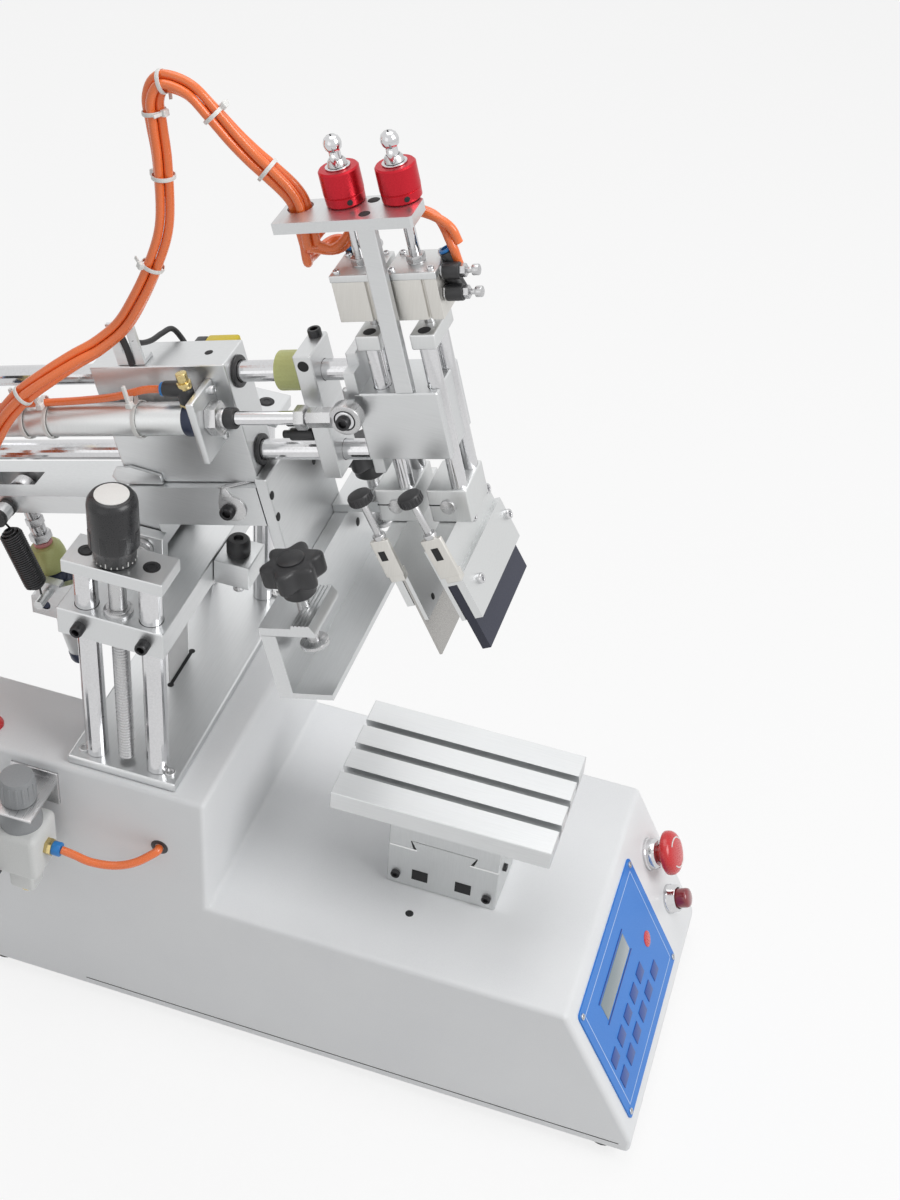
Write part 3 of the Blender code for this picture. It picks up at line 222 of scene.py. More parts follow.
TIE = Finish("white_tie", (0.82, 0.82, 0.8), (0.78, 0.78, 0.76), 0.45, 0.05)
CABLE = Finish("black_cable", (0.018, 0.018, 0.02), (0.026, 0.026, 0.028), 0.5, 0.06)
YELLOW = Finish("sensor_yellow", (0.78, 0.62, 0.03), (0.72, 0.56, 0.025), 0.38, 0.06)
BLUE_RING = Finish("blue_release_ring", (0.02, 0.22, 0.6), (0.02, 0.19, 0.54), 0.35, 0.05)
GREEN = Finish("green_seal", (0.05, 0.4, 0.28), (0.04, 0.36, 0.25), 0.4, 0.05)
GREY = Finish("moulded_grey", (0.3, 0.31, 0.32), (0.27, 0.28, 0.29), 0.45, 0.06)
PALE_CAST = Finish("pale_casting", (0.72, 0.73, 0.72), (0.67, 0.68, 0.67), 0.42, 0.06, relief=0.12)
GAUGE_FACE = Finish("gauge_face", (0.85, 0.85, 0.83), (0.82, 0.82, 0.8), 0.3, 0.04, coat=0.8)


def joint(name: str) -> dict:
    """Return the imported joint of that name."""
    return next(item for item in frame["joints"] if item["name"] == name)


class Places:
    """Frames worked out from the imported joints: the row frame, the slope and the arm."""

    low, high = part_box("cabinet")
    middle_x = (low.x + high.x) / 2
    machine = Matrix.Translation((middle_x, low.y, low.z + 0.012))
    pivot = Vector(joint("arm_rock")["pos_m"])
    forward = Vector(joint("head_stroke")["axis"])
    tilt = math.asin(forward.z)
    arm = Matrix.Translation((middle_x, pivot.y, pivot.z)) @ Matrix.Rotation(-tilt, 4, "X")
    push = Vector(joint("stop_button_push")["axis"])
    lean = Matrix.Rotation(math.atan2(push.y, -push.z), 4, "X")
    slope = machine @ Matrix.Translation((0.0, 0.0, 0.016)) @ lean
    lug = Vector(joint("rocking_swing")["pos_m"])
    stroke = Vector(joint("rocking_stroke")["axis"])
    rocking = Matrix.Translation(lug) @ Matrix.Rotation(-math.asin(stroke.y), 4, "X")


@dataclass
class Shape:
    """A mesh in the making, drawn in the frame of the sub-assembly that it belongs to."""

    bm: bmesh.types.BMesh = field(default_factory=bmesh.new)

    @classmethod
    def block(cls, x: Sequence[float], y: Sequence[float], z: Sequence[float], edge: float = 0.0006,
              segments: int = 3) -> "Shape":
        """A block between low and high values, with its edges rounded.

        Args:
            x: low and high value along X.
            y: low and high value along Y.
            z: low and high value along Z.
            edge: how far the rounding goes in from each edge.
            segments: how many strips the rounding has.

        Returns:
            The block's shape.
        """
        bm = bmesh.new()
        spans = [sorted(pair) for pair in (x, y, z)]
        size = [high - low for low, high in spans]
        middle = [(high + low) / 2 for low, high in spans]
        bmesh.ops.create_cube(bm, size=1.0, matrix=Matrix.Translation(middle) @ Matrix.Diagonal((*size, 1.0)))
        edge = min(edge, 0.45 * min(size))
        if edge > 0.0:
            bmesh.ops.bevel(bm, geom=bm.edges[:], offset=edge, segments=segments, profile=0.5,
                            affect="EDGES", material=-1, clamp_overlap=True)
        return cls(bm)

    @classmethod
    def turned(cls, profile: Sequence[tuple[float, float]], sides: int = 40) -> "Shape":
        """Make a solid turned about Z.

        Args:
            profile: (radius, z) points, with both ends on the axis or on each other.
            sides: how many facets go round.

        Returns:
            The solid's shape.
        """
        bm = bmesh.new()
        verts = [bm.verts.new((radius, 0.0, z)) for radius, z in profile]
        edges = [bm.edges.new(pair) for pair in zip(verts, verts[1:])]
        bmesh.ops.spin(bm, geom=verts + edges, cent=(0, 0, 0), axis=(0, 0, 1), angle=2 * math.pi,
                       steps=sides, use_merge=True)
        bmesh.ops.remove_doubles(bm, verts=bm.verts, dist=0.000005)
        bmesh.ops.recalc_face_normals(bm, faces=bm.faces)
        return cls(bm)

    @classmethod
    def rod(cls, axis: Axis, at: Sequence[float], low: float, high: float, radius: float,
            edge: float = 0.0004, sides: int = 32, bore: float = 0.0) -> "Shape":
        """A round bar along an axis, with rounded rims and, if asked, a bore right through.

        Args:
            axis: the direction of the bar.
            at: its place on the other two axes, in X, Y, Z order.
            low: where it starts along the axis.
            high: where it ends along the axis.
            radius: its outer radius.
            edge: the size of the rim's chamfer.
            sides: how many facets go round.
            bore: the radius of the hole along it, or 0 for none.

        Returns:
            The bar's shape.
        """
        low, high = sorted((low, high))
        edge = min(edge, 0.4 * radius, 0.4 * (high - low))
        rim = [(radius - edge, low), (radius - edge * 0.3, low + edge * 0.3), (radius, low + edge),
               (radius, high - edge), (radius - edge * 0.3, high - edge * 0.3), (radius - edge, high)]
        if bore > 0.0:
            profile = [(bore, low), *rim, (bore, high), (bore, low)]
        else:
            profile = [(0.0, low), *rim, (0.0, high)]
        shape = cls.turned(profile, sides)
        return shape.at(Matrix.Translation(axis.point(at, 0.0)) @ axis.turn())

    @classmethod
    def pin(cls, low: float, high: float, radius: float, edge: float = 0.0004, sides: int = 32,
            bore: float = 0.0) -> "Shape":
        """Return a round bar on the Z axis, with the sizes that rod takes."""
        return cls.rod(Axis.Z, (0.0, 0.0), low, high, radius, edge, sides, bore)

    @classmethod
    def prism(cls, axis: Axis, outline: Iterable[tuple[float, float]], low: float, high: float,
              edge: float = 0.0, segments: int = 2) -> "Shape":
        """Draw an outline out along an axis, with its edges rounded.

        Args:
            axis: the direction that it is drawn along.
            outline: its points on the other two axes.
            low: where it starts along the axis.
            high: where it ends along the axis.
            edge: the size of the rounding, or 0 for none.
            segments: how many strips the rounding has.

        Returns:
            The prism's shape.
        """
        bm = bmesh.new()
        face = bm.faces.new([bm.verts.new(axis.point(p, low)) for p in outline])
        drawn = bmesh.ops.extrude_face_region(bm, geom=[face])
        shift = [0.0, 0.0, 0.0]
        shift[axis.value] = high - low
        bmesh.ops.translate(bm, vec=shift, verts=[v for v in drawn["geom"]
                                                  if isinstance(v, bmesh.types.BMVert)])
        bmesh.ops.recalc_face_normals(bm, faces=bm.faces)
        if edge > 0.0:
            sharp = [e for e in bm.edges if len(e.link_faces) == 2 and e.calc_face_angle() > math.radians(30)]
            bmesh.ops.bevel(bm, geom=sharp, offset=edge, segments=segments, profile=0.5, affect="EDGES",
                            material=-1, clamp_overlap=True)
        return cls(bm)

    @classmethod
    def hexagon(cls, axis: Axis, at: Sequence[float], low: float, high: float, across: float) -> "Shape":
        """A hexagon nut or bar of that width across its flats."""
        return cls.rod(axis, at, low, high, across / math.sqrt(3.0), 0.0005, 6)

    def at(self, matrix: Matrix) -> "Shape":
        """Move the shape by a matrix and return it."""
        bmesh.ops.transform(self.bm, matrix=matrix, verts=self.bm.verts)
        return self

    def plus(self, *others: "Shape") -> "Shape":
        """Add other shapes as further shells.

        Args:
            others: the shapes, which are used up.

        Returns:
            This shape.
        """
        for other in others:
            spare = bpy.data.meshes.new("spare")
            other.bm.to_mesh(spare)
            self.bm.from_mesh(spare)
            other.bm.free()
            bpy.data.meshes.remove(spare)
        return self


@dataclass(frozen=True)
class Bend:
    """Two bodies that a bendy piece is held by, and where it starts and stops turning between them."""

    first: str
    second: str
    start: Vector
    end: Vector


Holder = str | Bend


def attach(piece: bpy.types.Object, holder: Holder) -> None:
    """Let a piece ride on one body; a piece given two bodies only has its place baked into its mesh.

    Args:
        piece: the piece's object.
        holder: the body's name, or the two that it would bend between.
    """
    if isinstance(holder, Bend):
        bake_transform(piece)
    else:
        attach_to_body(piece, holder)


def show(name: str, shape: Shape, finish: Finish, body: Holder, place: Matrix = Matrix.Identity(4),
         replaces: Sequence[str] = (), angle: float = 35.0) -> bpy.types.Object:
    """Make a finished piece from a shape.

    Args:
        name: the piece's name.
        shape: its mesh, in the frame of its sub-assembly.
        finish: its surface.
        body: the CAD body that it rides on, or the two that it would bend between, which leave it in place.
        place: the matrix from the sub-assembly's frame to the row frame.
        replaces: CAD nodes that it stands for.
        angle: the angle in degrees above which an edge stays sharp.

    Returns:
        The piece's object, at the origin with its place in its mesh.
    """
    shape.at(place)
    mesh = bpy.data.meshes.new(name)
    shape.bm.to_mesh(mesh)
    shape.bm.free()
    mesh.shade_smooth()
    mesh.set_sharp_from_angle(angle=math.radians(angle))
    mesh.materials.append(finish.material())
    piece = bpy.data.objects.new(name, mesh)
    bpy.context.collection.objects.link(piece)
    attach(piece, body)
    if replaces:
        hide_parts(*replaces)
    log.info("%s: %d faces on %s", name, len(mesh.polygons), body)
    return piece


def carry(finish: Finish, *nodes: str) -> None:
    """Give CAD nodes that stay in view their finish.

    Args:
        finish: the surface.
        nodes: the nodes' names.
    """
    for name in nodes:
        node = frame["nodes"][name]
        node.data.materials.clear()
        node.data.materials.append(finish.material())
        log.info("%s carried over as %s", name, finish.name)


def smooth_route(route: Sequence[Point], count: int) -> list[Vector]:
    """Return points on a Catmull-Rom curve through a route.

    Args:
        route: the chosen points.
        count: how many points to return.

    Returns:
        The points, from the route's first to its last.
    """
    spots = [Vector(p) for p in route]
    ends = [spots[0] * 2 - spots[1], *spots, spots[-1] * 2 - spots[-2]]
    spans = len(spots) - 1
    result = []
    for index in range(count):
        along = index / (count - 1) * spans
        span = min(int(along), spans - 1)
        t = along - span
        a, b, c, d = ends[span:span + 4]
        result.append(0.5 * (2 * b + (c - a) * t + (2 * a - 5 * b + 4 * c - d) * t * t
                             + (3 * b - a - 3 * c + d) * t ** 3))
    return result


def ring_frames(points: Sequence[Vector]) -> list[Matrix]:
    """Work out a frame at each point whose Z follows the line and whose X turns as little as it can.

    Args:
        points: the line's points.

    Returns:
        A matrix for each point.
    """
    tangents = [(points[min(i + 1, len(points) - 1)] - points[max(i - 1, 0)]).normalized()
                for i in range(len(points))]
    side = tangents[0].orthogonal().normalized()
    frames = []
    for place, tangent in zip(points, tangents):
        side = (side - tangent * side.dot(tangent)).normalized()
        across = tangent.cross(side)
        turn = Matrix((side, across, tangent)).transposed().to_4x4()
        frames.append(Matrix.Translation(place) @ turn)
    return frames


def sweep(points: Sequence[Vector], radius: float, sides: int = 12) -> Shape:
    """Sweep a closed round tube along points.

    Args:
        points: the centreline.
        radius: the tube's outer radius.
        sides: how many facets go round.

    Returns:
        The tube's shape.
    """
    bm = bmesh.new()
    rings = []
    for frame_here in ring_frames(points):
        angles = [2 * math.pi * k / sides for k in range(sides)]
        rings.append([bm.verts.new(frame_here @ Vector((radius * math.cos(a), radius * math.sin(a), 0.0)))
                      for a in angles])
    for low, high in zip(rings, rings[1:]):
        for k in range(sides):
            n = (k + 1) % sides
            bm.faces.new((low[k], low[n], high[n], high[k]))
    bm.faces.new(list(reversed(rings[0])))
    bm.faces.new(rings[-1])
    return Shape(bm)


def tube(name: str, points: Sequence[Vector], radius: float, finish: Finish, holder: Holder,
         replaces: Sequence[str] = ()) -> bpy.types.Object:
    """Args:
        name: the piece's name.
        points: its centreline in the row frame.
        radius: its outer radius.
        finish: its surface.
        holder: the CAD body that it rides on, or the two that it would bend between, which leave it in place.
        replaces: CAD nodes that it stands for.

    Returns:
        The mesh object.
    """
    piece = show(name, sweep(points, radius), finish, holder, replaces=replaces, angle=50)
    return piece


def socket_screw(axis: Axis, at: Sequence[float], face: float, radius: float, out: float,
                 height: Optional[float] = None) -> Shape:
    """A socket head cap screw that stands on a face.

    Args:
        axis: the screw's direction.
        at: its place on the other two axes.
        face: where the face lies along the axis.
        radius: the head's radius.
        out: +1 or -1, the way that the head points.
        height: the head's height, its radius unless given.

    Returns:
        The screw head with its hexagon socket.
    """
    tall = height if height is not None else radius
    well = 0.55 * radius
    profile = [(0.0, 0.0), (radius, 0.0), (radius, tall * 0.82), (radius * 0.9, tall), (well * 1.1, tall),
               (well, tall * 0.93), (well, tall * 0.4), (0.0, tall * 0.3)]
    shape = Shape.turned(profile, 24)
    flip = Matrix.Identity(4) if out > 0 else Matrix.Rotation(math.pi, 4, "X")
    return shape.at(Matrix.Translation(axis.point(at, face)) @ axis.turn() @ flip)


def around(count: int, make: Callable[[int], Shape]) -> list[Shape]:
    """Return shapes made by number, spaced evenly around Z."""
    return [make(k).at(Matrix.Rotation(2 * math.pi * k / count, 4, "Z")) for k in range(count)]


def screws(axis: Axis, spots: Iterable[Sequence[float]], face: float, radius: float, out: float,
           height: Optional[float] = None) -> Shape:
    """Several like socket screws on one face."""
    shape = Shape()
    return shape.plus(*[socket_screw(axis, at, face, radius, out, height) for at in spots])


def holes(axis: Axis, spots: Iterable[Sequence[float]], face: float, radius: float, out: float) -> Shape:
    """Make the shaded mouths of drilled holes, each a disc just proud of its face.

    Args:
        axis: the holes' direction.
        spots: their places on the other two axes.
        face: where the face lies along the axis.
        radius: the holes' radius.
        out: +1 or -1, the way that the face looks.

    Returns:
        The discs as one shape.
    """
    shape = Shape()
    proud = HOLE_PROUD * (1 if out > 0 else -1)
    return shape.plus(*[Shape.rod(axis, at, face - proud * 2, face + proud, radius, 0.00003, 28)
                        for at in spots])


@dataclass
class Cabinet:
    """The white sheet-metal cabinet, its feet and what is let into its skin."""

    half: float = 0.135
    length: float = 0.65
    lip: float = 0.016
    slope_run: float = 0.072
    low_deck: float = 0.1535
    step: float = 0.382
    high_deck: float = 0.2785
    well: float = 0.508
    strip: float = 0.079
    edge: float = 0.0045
    foot_inset: float = 0.02
    plug: tuple[float, float] = (-0.112, 0.58)
    gland: tuple[float, float] = (-0.096, 0.6265)
    deck_hole: tuple[float, float] = (-0.078, 0.222)
    grommet: tuple[float, float] = (0.422, 0.216)
    rear_screw_x: tuple[float, float] = (0.012, 0.066)
    rear_screw_z: tuple[float, float] = (0.02, 0.262)

    def shell(self) -> Shape:
        """Return the L-shaped body: a full-width block and the strip that runs on behind it."""
        side = [(0.0, 0.0), (0.0, self.lip), (self.slope_run, self.low_deck), (self.step, self.low_deck),
                (self.step, self.high_deck), (self.well, self.high_deck), (self.well, 0.0)]
        body = Shape.prism(Axis.X, side, -self.half, self.half)
        inner = self.strip - self.half
        bmesh.ops.bisect_plane(body.bm, geom=body.bm.verts[:] + body.bm.edges[:] + body.bm.faces[:],
                               plane_co=(inner, 0, 0), plane_no=(1, 0, 0))
        rear = [f for f in body.bm.faces if f.normal.y > 0.9 and f.calc_center_median().x < inner
                and f.calc_center_median().y > self.well - 0.001]
        drawn = bmesh.ops.extrude_face_region(body.bm, geom=rear)
        moved = [v for v in drawn["geom"] if isinstance(v, bmesh.types.BMVert)]
        bmesh.ops.translate(body.bm, vec=(0.0, self.length - self.well, 0.0), verts=moved)
        bmesh.ops.delete(body.bm, geom=rear, context="FACES")
        bmesh.ops.dissolve_limit(body.bm, angle_limit=0.01, verts=body.bm.verts, edges=body.bm.edges)
        bmesh.ops.recalc_face_normals(body.bm, faces=body.bm.faces)
        sharp = [e for e in body.bm.edges if len(e.link_faces) == 2
                 and e.calc_face_angle() > math.radians(20)]
        bmesh.ops.bevel(body.bm, geom=sharp, offset=self.edge, segments=5, profile=0.5, affect="EDGES",
                        material=-1, clamp_overlap=True)
        return body

    def feet(self) -> Shape:
        """Return the four rubber feet with their rounded rims."""
        spots = [(-self.half + self.foot_inset, self.foot_inset + 0.005),
                 (self.half - self.foot_inset, self.foot_inset + 0.005),
                 (self.half - self.foot_inset, self.well - self.foot_inset),
                 (-self.half + self.foot_inset, self.length - 0.06)]
        profile = [(0.0, -0.012), (0.01, -0.012), (0.0118, -0.0112), (0.0128, -0.009), (0.013, -0.001),
                   (0.0124, 0.0), (0.0, 0.0)]
        return Shape().plus(*[Shape.turned(profile, 36).at(Matrix.Translation((x, y, 0.0)))
                              for x, y in spots])

    def build(self) -> None:
        """Build and show the cabinet's pieces."""
        place = Places.machine
        show("cabinet_shell", self.shell(), PAINT, "machine", place, ["cabinet"], 25)
        show("cabinet_feet", self.feet(), RUBBER, "machine", place)
        seam = Shape.block((-self.half - 0.0002, self.half + 0.0002), (0.01, self.well - 0.008),
                           (0.0098, 0.0106), 0.0)
        show("base_seam", seam, HOLE, "machine", place)
        z = self.high_deck
        plug = Shape.turned([(0.0, z - 0.002), (0.01, z - 0.002), (0.01, z + 0.0015), (0.009, z + 0.003),
                             (0.006, z + 0.004), (0.0, z + 0.0042)])
        show("deck_plug", plug, RED, "machine", place @ Matrix.Translation((*self.plug, 0.0)))
        show("deck_hole", holes(Axis.Z, [self.deck_hole], self.low_deck, 0.0035, 1), HOLE, "machine", place)
        grommet = Shape.rod(Axis.X, self.grommet, -self.half - 0.0006, -self.half + 0.002, 0.0075,
                            0.0004, 32, 0.004)
        show("side_grommet", grommet, BLACK, "machine", place)
        spots = [(-self.half + x, z) for x in self.rear_screw_x for z in self.rear_screw_z]
        rear = screws(Axis.Y, spots, self.length, 0.0032, 1, 0.0014)
        show("rear_screws", rear, BLACK_STEEL, "machine", place)
        gland = Shape.turned([(0.0, -0.001), (0.016, -0.001), (0.016, 0.0016), (0.0145, 0.003),
                              (0.012, 0.0034), (0.0118, 0.0012), (0.0, 0.0012)])
        show("hose_gland", gland, BLACK, "machine", place @ Matrix.Translation((*self.gland, z)))


@dataclass
class ControlFace:
    """The membrane panel, stop button and lamp on the slope."""

    x: tuple[float, float] = (-0.1205, 0.062)
    s: tuple[float, float] = (0.0125, 0.1395)
    thick: float = 0.0015
    corner: float = 0.004
    border_inset: float = 0.0085
    border_width: float = 0.0009
    window_x: tuple[float, float] = (-0.084, -0.004)
    window_s: tuple[float, float] = (0.094, 0.113)
    key_start: float = -0.1
    key_pitch: float = 0.0235
    key_rows: tuple[tuple[float, int], ...] = ((0.043, 6), (0.066, 5))
    red_key: tuple[float, float] = (0.03, 0.07)
    screw_inset: float = 0.005
    stop: tuple[float, float] = (0.099, 0.106)
    lamp: tuple[float, float] = (0.098, 0.05)

    def plate(self) -> Shape:
        """Return the membrane plate with its round corners."""
        (x0, x1), (s0, s1) = self.x, self.s
        r = self.corner
        outline = []
        for cx, cy, start in ((x1 - r, s0 + r, -90), (x1 - r, s1 - r, 0), (x0 + r, s1 - r, 90),
                              (x0 + r, s0 + r, 180)):
            for step in range(5):
                angle = math.radians(start + step * 22.5)
                outline.append((cx + r * math.cos(angle), cy + r * math.sin(angle)))
        return Shape.prism(Axis.Z, outline, 0.0, self.thick)

    def border(self) -> Shape:
        """Return the light line that runs inside the plate's edge."""
        (x0, x1), (s0, s1) = self.x, self.s
        inset, wide = self.border_inset, self.border_width
        z = (self.thick - 0.0001, self.thick + 0.00008)
        bars = [Shape.block((x0 + inset, x1 - inset), (s, s + wide), z, 0.0)
                for s in (s0 + inset, s1 - inset - wide)]
        bars += [Shape.block((x, x + wide), (s0 + inset, s1 - inset), z, 0.0)
                 for x in (x0 + inset, x1 - inset - wide)]
        return Shape().plus(*bars)

    def keys(self, spots: Sequence[tuple[float, float, float, float]]) -> Shape:
        """Return soft raised keys at (x, s, half width, half height)."""
        top = self.thick
        return Shape().plus(*[Shape.block((x - w, x + w), (s - h, s + h), (top - 0.0003, top + 0.0006),
                                          0.0005) for x, s, w, h in spots])

    def build(self) -> None:
        """Build and show the face's pieces."""
        place = Places.slope
        show("panel_film", self.plate(), FILM, "machine", place, ["control_panel"])
        show("panel_border", self.border(), FILM_LINE, "machine", place)
        window = Shape.block(self.window_x, self.window_s, (self.thick - 0.0004, self.thick + 0.0004), 0.0004)
        show("panel_window", window, WINDOW, "machine", place)
        middle = sum(self.window_x) / 2
        rims = (self.window_s[0] - 0.0025, self.window_s[1] + 0.0025)
        frame_bars = self.keys([(middle, s, 0.0425, 0.0008) for s in rims])
        show("window_rims", frame_bars, FILM_KEY, "machine", place)
        dark = [(self.key_start + step * self.key_pitch, s, 0.0075, 0.0062)
                for s, count in self.key_rows for step in range(count)]
        show("panel_keys", self.keys(dark), FILM_KEY, "machine", place)
        key = Shape.turned([(0.0, 0.001), (0.0072, 0.001), (0.0072, 0.0018), (0.006, 0.0022),
                            (0.0, 0.0023)], 32)
        show("red_key", key, RED, "machine", place @ Matrix.Translation((*self.red_key, 0.0)))
        inset = self.screw_inset
        corner = [(x, s) for x in (self.x[0] + inset, self.x[1] - inset)
                  for s in (self.s[0] + inset, self.s[1] - inset)]
        show("panel_screws", screws(Axis.Z, corner, self.thick, 0.0028, 1, 0.0012), STEEL, "machine", place)
        self.stop_button()
        self.lamp_button()

    def stop_button(self) -> None:
        """Show the collar, the mushroom cap and its two turn arrows."""
        place = Places.slope
        here = place @ Matrix.Translation((*self.stop, 0.0))
        collar = Shape.turned([(0.0, 0.0), (0.015, 0.0), (0.015, 0.002), (0.0142, 0.003), (0.0142, 0.0075),
                               (0.0132, 0.01), (0.012, 0.011), (0.0082, 0.011),
                               (0.0082, 0.003), (0.0, 0.003)])
        show("stop_collar", collar, CHROME, "machine", here, ["stop_button_collar"])
        cap = Shape.turned([(0.0, 0.0094), (0.0074, 0.0094), (0.0074, 0.0172), (0.0186, 0.0178),
                            (0.0198, 0.0186), (0.02, 0.0205), (0.0196, 0.0232), (0.0182, 0.0255),
                            (0.016, 0.027), (0.012, 0.0281), (0.006, 0.0288), (0.0, 0.029)], 56)
        show("stop_cap", cap, RED, "stop_button", here, ["stop_button"], 60)
        arcs = Shape()
        for start in (20, 200):
            points = [Vector((0.0135 * math.cos(math.radians(start + k * 12)),
                              0.0135 * math.sin(math.radians(start + k * 12)), 0.028)) for k in range(9)]
            for a, b in zip(points, points[1:]):
                bar = Shape.block((0.0, (b - a).length), (-0.0006, 0.0006), (-0.0004, 0.0004), 0.0002)
                turn = Matrix.Rotation(math.atan2(b.y - a.y, b.x - a.x), 4, "Z")
                arcs.plus(bar.at(Matrix.Translation(a) @ turn))
        show("stop_arrows", arcs, TIE, "stop_button", here)

    def lamp_button(self) -> None:
        """Show the lamp's bezel and its lens."""
        place = Places.slope
        here = place @ Matrix.Translation((*self.lamp, 0.0))
        bezel = Shape.turned([(0.0, 0.0), (0.0135, 0.0), (0.0135, 0.003), (0.0128, 0.004), (0.0124, 0.0085),
                              (0.0115, 0.01), (0.01, 0.01), (0.01, 0.003), (0.0, 0.003)])
        show("lamp_ring", bezel, CHROME, "machine", here, ["lamp_bezel"])
        cap = Shape.turned([(0.0, 0.0074), (0.009, 0.0074), (0.009, 0.018), (0.0084, 0.0198), (0.006, 0.0208),
                            (0.0, 0.0211)], 48)
        show("lamp_lens", cap, LENS, "lamp_button", here, ["lamp_button"], 50)


@dataclass
class Table:
    """The slotted table on its cross slide."""

    x: float = -0.02
    y: float = 0.204
    half_x: float = 0.03
    half_y: float = 0.048
    base_screw_z: float = 0.166
    lock_screw_z: float = 0.19
    carriage_screw_z: float = 0.232
    window_z: tuple[float, float] = (0.164, 0.176)

    def build(self) -> None:
        """Dress the table's nodes and show its screws."""
        place = Places.machine
        carry(ALUMINIUM, "slot_table")
        carry(ANODISED, "slide_base", "slide_carriage")
        near = self.x - self.half_x
        front = self.y - self.half_y
        rear = self.y + self.half_y
        spots = [(front + 0.008, self.base_screw_z), (rear - 0.008, self.base_screw_z)]
        show("slide_base_screws", screws(Axis.X, spots, near, 0.004, -1, 0.003), BLACK_STEEL,
             "machine", place)
        spots = [(self.x + side * 0.012, self.lock_screw_z) for side in (-1, 1)]
        clamp = screws(Axis.Y, spots, front, 0.0035, -1, 0.003)
        show("slide_lock_screws", clamp, BLACK_STEEL, "machine", place)
        spots = [(front + 0.03, self.carriage_screw_z), (rear - 0.03, self.carriage_screw_z)]
        show("carriage_screws", screws(Axis.X, spots, near, 0.0035, -1, 0.003), BLACK_STEEL, "table", place)
        windows = Shape().plus(*[Shape.block((near - 0.0002, near + 0.001),
                                             (self.y + low, self.y + low + 0.014), self.window_z, 0.0)
                                 for low in (-0.026, 0.012)])
        show("slide_windows", windows, HOLE, "machine", place)


